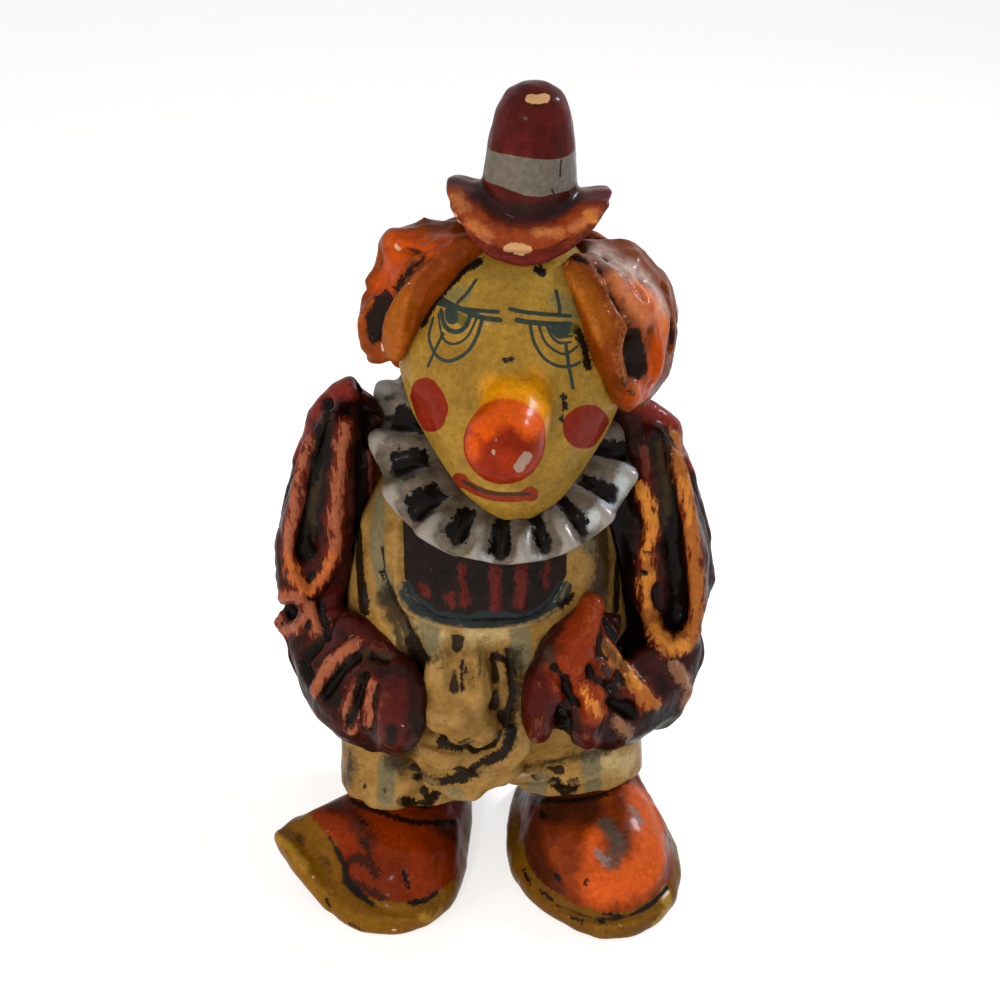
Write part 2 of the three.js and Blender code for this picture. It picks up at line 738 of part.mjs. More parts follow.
// A leg's hem hangs in lobes, and its top runs up into the body casting.
function leg(side) {
  const lobes = 3;
  const top = hipHeight + 4;
  return loft(3, 20, (along, angle) => {
    const flare = hemFlare * (1 - along) ** 2;
    const [dx, dy] = oval(angle, legHalfWidth + flare, legHalfDepth + flare, bodySquareness);
    const scallop = hemScallop * Math.cos(lobes * angle) * (1 - along);
    const hem = (side === left ? leftHemHeight : rightHemHeight) - scallop;
    return point(legMiddleX + side * legSpread + dx, legMiddleY + dy, lerp(hem, top, along));
  });
}

const legTools = [torsoSeat, cuffSeat, foldSeat, shoeSeat];
const legLeft = cut(leg(left), ...legTools);
const legRight = cut(leg(right), ...legTools);

// Stopper: a turned rubber bung with a bar across the recess in its underside

const plugRadius = stopperHoleRadius - stopperFit;
const bungProfile = [
  [0, -stopperFlangeThickness],
  [stopperFlangeRadius - 0.6, -stopperFlangeThickness],
  [stopperFlangeRadius, -stopperFlangeThickness + 0.8],
  [stopperFlangeRadius, 0],
  [plugRadius, 0],
  [plugRadius, stopperPlugRise / 2],
  [plugRadius - stopperTaper, stopperPlugRise],
  [0, stopperPlugRise],
];
const pullRecess = [
  [0, -2 * stopperFlangeThickness],
  [pullRecessRadius, -2 * stopperFlangeThickness],
  [pullRecessRadius, pullRecessDepth - stopperFlangeThickness],
  [0, pullRecessDepth - stopperFlangeThickness],
];
const pullBar = block(
  point(-pullRecessRadius, -pullBarWidth / 2, -stopperFlangeThickness),
  point(pullRecessRadius, pullBarWidth / 2, 0),
);
const bung = turned(bungProfile, roundSides).subtract(turned(pullRecess, roundSides).subtract(pullBar));

// The body's castings, cut for what is set in them

const stopperHoleProfile = [
  [0, -beyond],
  [stopperHoleRadius, -beyond],
  [stopperHoleRadius, beyond],
  [0, beyond],
];
const stopperHole = turned(stopperHoleProfile, roundSides).translate([0, stopperCentreY, 0]);
const everything = point(beyond, beyond, beyond);
const below = (z) => block(everything.clone().negate(), point(beyond, beyond, z));
const behind = (y) => block(point(-beyond, y, -beyond), everything);
const before = (y) => block(everything.clone().negate(), point(beyond, y, beyond));
const bodyShell = torso().subtract(torsoHollow).subtract(below(basePlateTop + glueLine)).subtract(headSeat);
const bodyFront = cut(bodyShell, behind(seamY - glueLine / 2), shirtPocket);
const bodyBack = cut(bodyShell, before(seamY + glueLine / 2), slotCut);
const basePlate = torso().intersect(below(basePlateTop)).subtract(stopperHole);

// Figure

const figure = new THREE.Group();

function part(parent, name, solid, color, roughness = 0.4) {
  const material = new THREE.MeshStandardMaterial({ color, roughness, metalness: 0 });
  const mesh = new THREE.Mesh(geometryOf(solid), material);
  mesh.name = name;
  parent.add(mesh);
  return mesh;
}

part(figure, "body_front_half", bodyFront, "#b89a5c");
part(figure, "body_back_half", bodyBack, "#b89a5c");
part(figure, "base_plate", basePlate, "#c9b48c", 0.7);
part(figure, "shirt_front", shirtPlate, "#2a1512");
part(figure, "ruff", ruffSolid, "#b3b0aa");
part(figure, "sleeve_left", sleeveLeft, "#5c241a");
part(figure, "sleeve_right", sleeveRight, "#6e2a1c");
part(figure, "cuff_left", cuffLeft, "#66201c");
part(figure, "cuff_right", cuffRight, "#9a3a1a");
part(figure, "trouser_fold_upper", foldUpper, "#c2a063");
part(figure, "trouser_fold_middle", foldMiddle, "#b8965a");
part(figure, "trouser_fold_lower", foldLower, "#c2a063");
part(figure, "trouser_leg_left", legLeft, "#b89a5c");
part(figure, "trouser_leg_right", legRight, "#b89a5c");
part(figure, "shoe_left", upperLeft, "#b8420c");
part(figure, "shoe_right", upperRight, "#d2501c");
part(figure, "sole_left", sole(leftShoe), "#a87408");
part(figure, "sole_right", sole(rightShoe), "#a87408");

figure.add(head);
part(head, "head_shell", headShell, "#c2a050");
part(head, "nose", nose, "#d8401c", 0.3);
part(head, "hair_left", hairLeft, "#cc6a12");
part(head, "hair_right", hairRight, "#cc6a12");
part(head, "hair_back", hairBack, "#c06010");
part(head, "hat_brim", hatBrim, "#8a2018");
part(head, "hat_crown", hatCrown, "#7a1c1c");

const stopper = part(figure, "stopper", bung, "#2b2b2b", 0.8);
stopper.position.set(0, stopperCentreY, bodyFloor - glueLine);

// The origin is under the middle of the whole figure, on the table.
const bounds = new THREE.Box3().setFromObject(figure);
const footprint = bounds.getCenter(point(0, 0, 0));
figure.position.set(-footprint.x, -footprint.y, -bounds.min.z);
const moneyBox = new THREE.Group();
moneyBox.add(figure);

export default moneyBox;
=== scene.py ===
"""A clown money box of painted plaster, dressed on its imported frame.

Places are in millimetres in the frame of the part, or in pixels of a picture 1000 wide and 1000 high that the
camera of this scene takes. Meshes are in metres. Left and right are as seen from the front.
"""

from __future__ import annotations

import json
import logging
import math
from dataclasses import dataclass, field
from enum import Enum

import bmesh
import bpy
import numpy as np
from mathutils import Matrix, Vector
from mathutils.bvhtree import BVHTree

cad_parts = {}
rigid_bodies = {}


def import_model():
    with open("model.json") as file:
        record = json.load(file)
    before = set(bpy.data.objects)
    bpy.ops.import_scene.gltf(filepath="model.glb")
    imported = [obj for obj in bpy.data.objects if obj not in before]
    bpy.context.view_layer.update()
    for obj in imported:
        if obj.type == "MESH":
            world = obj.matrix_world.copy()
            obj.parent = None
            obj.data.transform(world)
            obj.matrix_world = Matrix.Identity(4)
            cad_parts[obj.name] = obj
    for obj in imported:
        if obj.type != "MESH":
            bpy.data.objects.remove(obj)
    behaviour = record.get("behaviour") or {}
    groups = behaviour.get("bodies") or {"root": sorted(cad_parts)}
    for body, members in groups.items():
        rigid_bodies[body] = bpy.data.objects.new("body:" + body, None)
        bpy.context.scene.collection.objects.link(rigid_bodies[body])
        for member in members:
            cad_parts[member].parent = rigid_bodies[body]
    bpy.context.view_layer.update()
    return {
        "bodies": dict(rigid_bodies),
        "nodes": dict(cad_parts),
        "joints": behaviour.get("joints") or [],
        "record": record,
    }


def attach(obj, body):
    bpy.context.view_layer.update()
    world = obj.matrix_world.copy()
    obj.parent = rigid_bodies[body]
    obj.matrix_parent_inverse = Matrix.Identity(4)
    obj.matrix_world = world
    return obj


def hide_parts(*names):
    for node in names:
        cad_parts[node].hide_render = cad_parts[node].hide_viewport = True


log = logging.getLogger("clown")

Tree = bpy.types.NodeTree
Socket = bpy.types.NodeSocket
Frame = dict[str, dict[str, bpy.types.Object]]
Line = tuple[tuple[float, ...], ...]

MM = 0.001
# The value of a painted place, in millimetres, where nothing of it is near
FAR = 60.0
SEED = 11


class Hold(Enum):
    """How a stroke of the brush is measured: over the surface, or as the camera sees it."""

    SURFACE = "surface"
    PICTURE = "picture"


@dataclass(frozen=True)
class Lens:
    """The camera: where it stands, how far it looks down, and its picture.

    The place, focal length and film are in millimetres, the angle down in degrees, the picture in pixels.
    """

    place: tuple[float, float, float] = (3.049, -546.222, 485.0)
    down: float = 30.0
    focal: float = 57.3
    film: float = 36.0
    picture: float = 1000.0

    def ray(self, across: float, below: float) -> tuple[Vector, Vector]:
        """Gives the line of sight through one pixel.

        Args:
            across: pixels from the left of the picture.
            below: pixels from its top.

        Returns:
            Where the line starts, in metres, and its direction.
        """
        turn = math.radians(self.down)
        length = self.focal / self.film * self.picture
        ahead = Vector((0, math.cos(turn), -math.sin(turn)))
        above = Vector((0, math.sin(turn), math.cos(turn)))
        half = self.picture / 2
        sight = ahead + Vector((1, 0, 0)) * (across - half) / length + above * (half - below) / length
        return Vector(self.place) * MM, sight.normalized()

    def seen(self, places: np.ndarray) -> np.ndarray:
        """Gives the pixel at which each place shows, and its depth.

        Args:
            places: in millimetres.

        Returns:
            Pixels across and down, and millimetres away from the camera.
        """
        turn = math.radians(self.down)
        length = self.focal / self.film * self.picture
        off = places - np.array(self.place)
        depth = off @ (0, math.cos(turn), -math.sin(turn))
        above = off @ (0, math.sin(turn), math.cos(turn))
        half = self.picture / 2
        return np.stack([half + off[:, 0] / depth * length, half - above / depth * length, depth], 1)

    def put(self) -> None:
        """Puts the camera into the scene."""
        data = bpy.data.cameras.new("camera")
        data.lens = self.focal
        data.sensor_width = self.film
        camera = bpy.data.objects.new("camera", data)
        camera.location = Vector(self.place) * MM
        camera.rotation_euler = (math.radians(90 - self.down), 0, 0)
        bpy.context.collection.objects.link(camera)
        bpy.context.scene.camera = camera


LENS = Lens()


@dataclass(frozen=True)
class Mark:
    """A stroke of the tool or of the brush, along pixels of the picture.

    Where solid is true the points are places in millimetres instead, which are brought to the nearest skin.
    """

    points: Line
    radius: float
    height: float = 0.0
    solid: bool = False
    hold: Hold = Hold.SURFACE


Marks = tuple[Mark, ...]
# The strokes of a piece by the place that they paint
Paint = dict[str, Marks]


def marks(radius: float, height: float, *lines: Line) -> Marks:
    """Gives strokes of the tool along pixels, with half their width and their height in millimetres."""
    return tuple(Mark(line, radius, height) for line in lines)


def strokes(radius: float, *lines: Line) -> Marks:
    """Gives strokes of the brush along pixels, with half their width in millimetres."""
    return tuple(Mark(line, radius) for line in lines)


def spots(radius: float, *lines: Line) -> Marks:
    """Gives strokes of the brush along pixels, whose half width is as the camera sees it."""
    return tuple(Mark(line, radius, hold=Hold.PICTURE) for line in lines)


def runs(radius: float, height: float, *lines: Line) -> Marks:
    """Gives strokes along places in millimetres, of the brush where their height is 0."""
    return tuple(Mark(line, radius, height, True) for line in lines)


class Skin:
    """The surface of a piece as arrays, in millimetres."""

    def __init__(self, mesh: bpy.types.Mesh) -> None:
        """Reads a mesh of triangles and quads.

        Args:
            mesh: the mesh to read.
        """
        self.mesh = mesh
        count = len(mesh.vertices)
        flat = np.empty(count * 3)
        mesh.vertices.foreach_get("co", flat)
        self.places = flat.reshape(-1, 3) / MM
        ends = np.empty(len(mesh.edges) * 2, dtype=np.int64)
        mesh.edges.foreach_get("vertices", ends)
        ends = ends.reshape(-1, 2)
        self.heads = np.concatenate([ends[:, 0], ends[:, 1]])
        self.tails = np.concatenate([ends[:, 1], ends[:, 0]])
        self.around = np.maximum(np.bincount(self.heads, minlength=count), 1)

    def write(self) -> None:
        """Puts the places back into the mesh."""
        self.mesh.vertices.foreach_set("co", (self.places * MM).astype(np.float32).ravel())
        self.mesh.update()

    def normals(self) -> np.ndarray:
        """Gives the outward direction at each vertex.

        Returns:
            One direction for each.
        """
        self.write()
        flat = np.empty(len(self.places) * 3)
        self.mesh.vertices.foreach_get("normal", flat)
        return flat.reshape(-1, 3)

    def mean(self, values: np.ndarray) -> np.ndarray:
        """Gives the mean of each vertex's neighbours.

        Args:
            values: one value or one place for each vertex.

        Returns:
            The means.
        """
        count = len(self.places)
        if values.ndim == 1:
            return np.bincount(self.heads, values[self.tails], count) / self.around
        found = [np.bincount(self.heads, values[self.tails, k], count) for k in range(values.shape[1])]
        return np.stack(found, 1) / self.around[:, None]

    def blur(self, values: np.ndarray, passes: int) -> np.ndarray:
        """Smooths values over the surface.

        Args:
            values: one value or one place for each vertex.
            passes: how often each takes half of its neighbours' mean.

        Returns:
            The smoothed values.
        """
        for _ in range(passes):
            values = (values + self.mean(values)) / 2
        return values

    def calm(self, passes: int, keep: bool) -> None:
        """Smooths the surface itself.

        Args:
            passes: how often it is done.
            keep: whether each pass is followed by one back, so that thick forms keep their size.
        """
        push = 0.53
        for _ in range(passes):
            self.places = (self.places + self.mean(self.places)) / 2
            if keep:
                self.places = self.places - push * (self.mean(self.places) - self.places)

    def line(self, mark: Mark, tree: BVHTree) -> np.ndarray:
        """Brings a stroke onto the surface.

        Args:
            mark: the stroke.
            tree: the surface's triangles, in metres.

        Returns:
            The stroke's places in millimetres, close together.
        """
        step = 3.0
        depths = range(480, 680, 5)
        found = []
        for p in bent(mark.points, step):
            if mark.solid:
                hit = tree.find_nearest(Vector(p) * MM)[0]
            else:
                start, sight = LENS.ray(p[0], p[1])
                hit = tree.ray_cast(start, sight)[0]
                if hit is None:
                    # The line of sight misses, so the stroke goes where it passes the skin nearest
                    tries = [tree.find_nearest(start + sight * d * MM) for d in depths]
                    hit = min(tries, key=lambda t: t[3])[0]
            found.append(np.array(hit) / MM)
        return np.array(found)

    def distance(self, line: np.ndarray, reach: float, hold: Hold = Hold.SURFACE) -> np.ndarray:
        """Gives how far each vertex is from a line of places.

        Args:
            line: the places.
            reach: the distance in millimetres past which nothing is worked out.
            hold: whether depth, away from the camera, counts.

        Returns:
            The distances, no more than the reach.
        """
        # A stroke in the picture reaches places up to this far before and behind it
        deepest = 14.0
        wider = deepest if hold is Hold.PICTURE else 0.0
        low = line.min(0) - reach - wider
        high = line.max(0) + reach + wider
        near = np.where(((self.places > low) & (self.places < high)).all(1))[0]
        best = np.full(len(self.places), reach)
        if not len(near):
            return best
        p = self.places[near]
        sight = line.mean(0) - np.array(LENS.place)
        sight = sight / np.linalg.norm(sight)
        least = np.full(len(p), reach)
        for a, b in zip(line, [*line[1:], line[-1]]):
            run = b - a
            if hold is Hold.PICTURE:
                run = run - (run @ sight) * sight
            size = max(run @ run, 1e-9)
            off = p - a
            depth = off @ sight
            if hold is Hold.PICTURE:
                off = off - depth[:, None] * sight
            along = np.clip((off @ run) / size, 0, 1)
            far = np.linalg.norm(off - along[:, None] * run, axis=1)
            if hold is Hold.PICTURE:
                far = np.where(np.abs(depth) < deepest, far, reach)
            least = np.minimum(least, far)
        best[near] = least
        return best

    def carve(self, drawn: Marks, tree: BVHTree) -> None:
        """Draws ridges up and grooves in.

        Args:
            drawn: the strokes of the tool.
            tree: the surface before any of them.
        """
        outward = self.normals()
        up = np.zeros(len(self.places))
        down = np.zeros(len(self.places))
        for mark in drawn:
            far = self.distance(self.line(mark, tree), mark.radius)
            shape = (1 - (far / mark.radius) ** 2) ** 2 * mark.height
            up = np.maximum(up, shape)
            down = np.minimum(down, shape)
        self.places = self.places + outward * (up + down)[:, None]

    def swell(self, height: float, size: float, seed: int) -> None:
        """Raises lumps of a height and a size in millimetres, as on a hand-finished casting."""
        self.places = self.places + self.normals() * (height * waver(self.places, size, seed))[:, None]

    def relief(self, passes: int) -> np.ndarray:
        """Gives how far each vertex stands off the smoothed surface, past the middle value.

        Args:
            passes: how often the surface is smoothed.

        Returns:
            Millimetres, positive on ridges.
        """
        outward = self.normals()
        off = ((self.places - self.blur(self.places, passes)) * outward).sum(1)
        return off - np.median(off)

    def read(self, name: str) -> np.ndarray | None:
        """Gives back the values kept under a name.

        Args:
            name: of the attribute.

        Returns:
            The values, or None.
        """
        layer = self.mesh.attributes.get(name)
        if layer is None:
            return None
        values = np.empty(len(self.places))
        layer.data.foreach_get("value", values)
        return values

    def store(self, name: str, values: np.ndarray) -> None:
        """Keeps one value for each vertex under a name, for the materials."""
        layer = self.mesh.attributes.get(name) or self.mesh.attributes.new(name, "FLOAT", "POINT")
        layer.data.foreach_set("value", values.astype(np.float32))


def bent(points: Line, step: float) -> np.ndarray:
    """Draws a smooth curve through points.

    Args:
        points: the points.
        step: from one place on the curve to the next.

    Returns:
        The places, close together.
    """
    given = [np.array(p, dtype=float) for p in points]
    if len(given) == 1:
        return np.array(given)
    ends = [2 * given[0] - given[1], *given, 2 * given[-1] - given[-2]]
    found = [given[0]]
    for k in range(1, len(ends) - 2):
        a, b, c, d = ends[k - 1 : k + 3]
        parts = max(1, int(np.linalg.norm(c - b) / step))
        for i in range(1, parts + 1):
            t = i / parts
            curve = 2 * b + (c - a) * t + (2 * a - 5 * b + 4 * c - d) * t**2
            found.append((curve + (3 * b - a - 3 * c + d) * t**3) / 2)
    return np.array(found)


def within(seen: np.ndarray, outline: Line) -> np.ndarray:
    """Gives how far each place is from an outline in the picture.

    Args:
        seen: the pixels and depths of the places.
        outline: the corners, in pixels.

    Returns:
        Millimetres at the depth of each place, negative inside.
    """
    x, y = seen[:, 0], seen[:, 1]
    least = np.full(len(x), 1e9)
    inside = np.zeros(len(x), dtype=bool)
    for (ax, ay), (bx, by) in zip(outline, [*outline[1:], outline[0]]):
        run = np.array([bx - ax, by - ay])
        along = np.clip(((x - ax) * run[0] + (y - ay) * run[1]) / (run @ run), 0, 1)
        least = np.minimum(least, np.hypot(x - ax - along * run[0], y - ay - along * run[1]))
        crosses = (ay > y) != (by > y)
        if ay != by:
            inside ^= crosses & (x < (bx - ax) * (y - ay) / (by - ay) + ax)
    size = seen[:, 2] / (LENS.focal / LENS.film * LENS.picture)
    return np.where(inside, -least, least) * size


def waver(places: np.ndarray, size: float, seed: int) -> np.ndarray:
    """Gives smooth noise between -1 and 1.

    Args:
        places: in millimetres.
        size: from one lump to the next, in millimetres.
        seed: picks the pattern.

    Returns:
        One value for each place.
    """
    grid = 64
    rng = np.random.default_rng(seed)
    table = rng.uniform(-1, 1, (grid, grid, grid))
    scaled = places / size + grid / 2
    low = np.floor(scaled).astype(int)
    part = scaled - low
    part = part * part * (3 - 2 * part)
    total = np.zeros(len(places))
    for i in (0, 1):
        for j in (0, 1):
            for k in (0, 1):
                weight = np.ones(len(places))
                for axis, corner in enumerate((i, j, k)):
                    weight = weight * (part[:, axis] if corner else 1 - part[:, axis])
                at = (low + (i, j, k)) % grid
                total += weight * table[at[:, 0], at[:, 1], at[:, 2]]
    return total


def linear(code: str) -> tuple[float, float, float, float]:
    """Turns an sRGB colour into the linear one that a shader takes.

    Args:
        code: the colour as six hex digits.

    Returns:
        Red, green, blue and 1.
    """
    parts = [int(code.lstrip("#")[k : k + 2], 16) / 255 for k in (0, 2, 4)]
    red, green, blue = [c / 12.92 if c <= 0.04045 else ((c + 0.055) / 1.055) ** 2.4 for c in parts]
    return red, green, blue, 1.0


def add(
    tree: Tree,
    kind: str,
    settings: dict[str | int, object] | None = None,
    links: dict[str | int, Socket] | None = None,
) -> bpy.types.Node:
    """Adds one node.

    Args:
        tree: takes the node.
        kind: the node's type.
        settings: its properties by name, and its inputs by name or number.
        links: what goes into its inputs, by name or number.

    Returns:
        The node.
    """
    node = tree.nodes.new(kind)
    for key, value in (settings or {}).items():
        if isinstance(key, str) and hasattr(node, key):
            setattr(node, key, value)
        else:
            node.inputs[key].default_value = value
    for key, socket in (links or {}).items():
        tree.links.new(socket, node.inputs[key])
    return node


@dataclass(frozen=True)
class Layer:
    """One colour brushed on in a place of its own.

    The attribute named by where holds millimetres from the place's edge. Soft is half of the edge's fade,
    ragged how far its teeth reach, and grain their size. Stretch under 1 draws the teeth out.
    """

    where: str
    colour: str
    soft: float = 0.2
    ragged: float = 0.0
    grain: float = 3.0
    cover: float = 1.0
    stretch: float = 1.0


@dataclass(frozen=True)
class Rub:
    """Paint that takes to the ridges only, or to the hollows only, and breaks up in streaks."""

    where: str
    colour: str
    start: float
    over: float
    cover: float
    streak: float


# The values that a noise texture seldom leaves, between which a pattern goes from one end to the other
NOISE_LOW = 0.36
NOISE_HIGH = 0.64
# The noise over which a speck or a chip is so rare that none shows
SPECK_LIMIT = 0.72
CHIP_LIMIT = 0.74


@dataclass(frozen=True)
class Coat:
    """Artist's paint on cast plaster, antiqued with a black wash, dry-brushed and varnished.

    It gives the eye a strong colour on the swells, a lighter worn one on the ridges, near black in the
    hollows, and a soft gloss over all. The paint itself hardly shines, so the glints are the varnish's, but
    for the highlights that some pieces have painted on.
    Blotch is the millimetres over which a flat brush worked the second colour into the first.
    """

    name: str
    base: str
    second: str
    blotch: float = 14.0
    layers: tuple[Layer, ...] = ()
    ridge: str | None = None
    ridge_from: float = 0.35
    ridge_over: float = 0.35
    ridge_cover: float = 0.92
    ridge_streak: float = 0.6
    wash: str = "#120d0a"
    wash_from: float = 0.45
    wash_over: float = 0.5
    wash_cover: float = 0.95
    wash_streak: float = 0.35
    seam: float = 1.0
    speckle: str = "#2a2013"
    speckle_share: float = 0.0
    speckle_cover: float = 0.8
    chip: str = "#c9a58f"
    chip_share: float = 0.0
    roughness: float = 0.3
    bare_roughness: float = 0.85
    ior: float = 1.5
    specular: float = 0.03
    gloss: float = 0.11
    gloss_roughness: float = 0.14
    bump: float = 0.25
    brushed: float = 1.0
    mottle: float = 0.2
    metallic: float = 0.0

    def material(self) -> bpy.types.Material:
        """Builds the paint.

        Returns:
            The material.
        """
        made = bpy.data.materials.new(self.name)
        made.use_nodes = True
        tree = made.node_tree
        tree.nodes.clear()
        place = add(tree, "ShaderNodeTexCoord").outputs["Object"]
        colour = self.ground(tree, place)
        for layer in self.layers:
            paint = {"data_type": "RGBA", 7: linear(layer.colour)}
            cover = self.edge(tree, place, layer)
            colour = add(tree, "ShaderNodeMix", paint, {0: cover, 6: colour}).outputs[2]
        colour = self.weathered(tree, place, self.mottled(tree, place, colour))
        wear = self.chipped(tree, place)
        plaster = {"data_type": "RGBA", 7: linear(self.chip)}
        colour = add(tree, "ShaderNodeMix", plaster, {0: wear, 6: colour}).outputs[2]
        skin = {
            "Metallic": self.metallic,
            "IOR": self.ior,
            "Specular IOR Level": self.specular,
            "Coat Weight": self.gloss,
            "Coat Roughness": self.gloss_roughness,
        }
        links = {
            "Base Color": colour,
            "Normal": self.surface(tree, place, wear),
            "Roughness": self.varnish(tree, place, wear),
        }
        shader = add(tree, "ShaderNodeBsdfPrincipled", skin, links)
        add(tree, "ShaderNodeOutputMaterial", None, {0: shader.outputs[0]})
        return made

    def ground(self, tree: Tree, place: Socket) -> Socket:
        """Mixes the two main colours in blotches.

        Args:
            tree: takes the nodes.
            place: the coordinates.

        Returns:
            The colour.
        """
        shape = {"Scale": 1 / (self.blotch * MM), "Detail": 4.0, "Roughness": 0.62}
        cloud = add(tree, "ShaderNodeTexNoise", shape, {"Vector": place}).outputs[0]
        span = {"From Min": NOISE_LOW, "From Max": NOISE_HIGH}
        share = add(tree, "ShaderNodeMapRange", span, {"Value": cloud}).outputs[0]
        colours = {"data_type": "RGBA", 6: linear(self.base), 7: linear(self.second)}
        return add(tree, "ShaderNodeMix", colours, {0: share}).outputs[2]

    def edge(self, tree: Tree, place: Socket, layer: Layer) -> Socket:
        """Gives where a brushed colour lies, with an edge as clean or as ragged as the brush left it.

        Args:
            tree: takes the nodes.
            place: the coordinates.
            layer: the brushed colour.

        Returns:
            The colour's cover.
        """
        value = add(tree, "ShaderNodeAttribute", {"attribute_name": layer.where}).outputs["Fac"]
        if layer.ragged:
            drawn = add(tree, "ShaderNodeMapping", {"Scale": (1.0, 1.0, layer.stretch)}, {"Vector": place})
            shape = {"Scale": 1 / (layer.grain * MM), "Detail": 5.0, "Roughness": 0.72}
            grain = add(tree, "ShaderNodeTexNoise", shape, {"Vector": drawn.outputs[0]}).outputs[0]
            span = 2.0 * layer.ragged
            about = {"operation": "MULTIPLY_ADD", 1: 2 * span, 2: -span}
            shift = add(tree, "ShaderNodeMath", about, {0: grain}).outputs[0]
            value = add(tree, "ShaderNodeMath", {"operation": "ADD"}, {0: value, 1: shift}).outputs[0]
        fade = {
            "interpolation_type": "SMOOTHSTEP",
            "From Min": layer.soft,
            "From Max": -layer.soft,
            "To Max": layer.cover,
        }
        return add(tree, "ShaderNodeMapRange", fade, {"Value": value}).outputs[0]

    def mottled(self, tree: Tree, place: Socket, colour: Socket) -> Socket:
        """Makes the paint thicker and thinner, as a stiff brush leaves it.

        Args:
            tree: takes the nodes.
            place: the coordinates.
            colour: the colour so far.

        Returns:
            The colour, darker and lighter from place to place.
        """
        # A stiff brush 5 mm wide leaves paint that is thick and thin over 2 to 3 mm
        thickness_size = 2.6
        shape = {"Scale": 1 / (thickness_size * MM), "Detail": 5.0, "Roughness": 0.75}
        cloud = add(tree, "ShaderNodeTexNoise", shape, {"Vector": place}).outputs[0]
        ends = {"To Min": 1 - self.mottle, "To Max": 1 + self.mottle}
        span = {"From Min": NOISE_LOW, "From Max": NOISE_HIGH, **ends}
        value = add(tree, "ShaderNodeMapRange", span, {"Value": cloud}).outputs[0]
        return add(tree, "ShaderNodeHueSaturation", None, {"Value": value, "Color": colour}).outputs[0]

    def weathered(self, tree: Tree, place: Socket, colour: Socket) -> Socket:
        """Puts the dry-brushed ridges, the black wash and the specks over the colours.

        Args:
            tree: takes the nodes.
            place: the coordinates.
            colour: the colour so far.

        Returns:
            The colour with its wear.
        """
        # A dry brush leaves streaks 0.2 to 0.5 mm wide, too fine to show here, so they are drawn at 1.6 mm
        streak_size = 1.6
        drawn = add(tree, "ShaderNodeMapping", {"Scale": (1.0, 1.0, self.brushed)}, {"Vector": place})
        shape = {"Scale": 1 / (streak_size * MM), "Detail": 4.0, "Roughness": 0.65}
        streak = add(tree, "ShaderNodeTexNoise", shape, {"Vector": drawn.outputs[0]}).outputs[0]
        if self.ridge:
            takes = (self.ridge_from, self.ridge_over, self.ridge_cover, self.ridge_streak)
            colour = self.rubbed(tree, streak, colour, Rub("proud", self.ridge, *takes))
        takes = (self.wash_from, self.wash_over, self.wash_cover, self.wash_streak)
        colour = self.rubbed(tree, streak, colour, Rub("hollow", self.wash, *takes))
        if not self.speckle_share:
            return colour
        # Specks flicked off a brush are 0.3 to 0.7 mm across
        speck_size = 0.7
        speck_edge = 0.04
        shape = {"Scale": 1 / (speck_size * MM), "Detail": 3.0, "Roughness": 0.6}
        speck = add(tree, "ShaderNodeTexNoise", shape, {"Vector": place}).outputs[0]
        least = SPECK_LIMIT - self.speckle_share
        span = {"From Min": least, "From Max": least + speck_edge, "To Max": self.speckle_cover}
        dots = add(tree, "ShaderNodeMapRange", span, {"Value": speck}).outputs[0]
        paint = {"data_type": "RGBA", 7: linear(self.speckle)}
        return add(tree, "ShaderNodeMix", paint, {0: dots, 6: colour}).outputs[2]

    def rubbed(self, tree: Tree, streak: Socket, colour: Socket, rub: Rub) -> Socket:
        """Rubs one paint onto the ridges or into the hollows.

        Args:
            tree: takes the nodes.
            streak: the streaks that break it up.
            colour: the colour so far.
            rub: the paint, and how it takes.

        Returns:
            The colour with it.
        """
        relief = add(tree, "ShaderNodeAttribute", {"attribute_name": rub.where}).outputs["Fac"]
        about = {"operation": "MULTIPLY_ADD", 1: 2 * rub.streak, 2: -rub.streak}
        broken = add(tree, "ShaderNodeMath", about, {0: streak}).outputs[0]
        both = add(tree, "ShaderNodeMath", {"operation": "ADD"}, {0: relief, 1: broken}).outputs[0]
        span = {"From Min": rub.start, "From Max": rub.start + rub.over, "To Max": rub.cover}
        cover = add(tree, "ShaderNodeMapRange", span, {"Value": both}).outputs[0]
        paint = {"data_type": "RGBA", 7: linear(rub.colour)}
        return add(tree, "ShaderNodeMix", paint, {0: cover, 6: colour}).outputs[2]

    def chipped(self, tree: Tree, place: Socket) -> Socket:
        """Gives where the paint has come off the plaster: the chips drawn on the piece and a few small ones.

        Args:
            tree: takes the nodes.
            place: the coordinates.

        Returns:
            1 on bare plaster.
        """
        drawn = self.edge(tree, place, Layer("chips", self.chip, 0.12, 0.5, 2.2))
        if not self.chip_share:
            return drawn
        # Paint breaks off old plaster in chips of 2 to 8 mm, and first where the plaster stands proud
        chip_size = 7.0
        chip_edge = 0.01
        proud_weight = 0.06
        proud = add(tree, "ShaderNodeAttribute", {"attribute_name": "proud"}).outputs["Fac"]
        shape = {"Scale": 1 / (chip_size * MM), "Detail": 5.0, "Roughness": 0.7}
        patch = add(tree, "ShaderNodeTexNoise", shape, {"Vector": place}).outputs[0]
        weighed = {"operation": "MULTIPLY_ADD", 1: proud_weight}
        both = add(tree, "ShaderNodeMath", weighed, {0: proud, 2: patch}).outputs[0]
        least = CHIP_LIMIT - self.chip_share
        span = {"From Min": least, "From Max": least + chip_edge}
        small = add(tree, "ShaderNodeMapRange", span, {"Value": both}).outputs[0]
        return add(tree, "ShaderNodeMath", {"operation": "MAXIMUM"}, {0: drawn, 1: small}).outputs[0]

    def surface(self, tree: Tree, place: Socket, wear: Socket) -> Socket:
        """Gives the fine unevenness: brush marks, pits in the plaster and the step down into a chip.

        Args:
            tree: takes the nodes.
            place: the coordinates.
            wear: where the paint is off.

        Returns:
            The normal.
        """
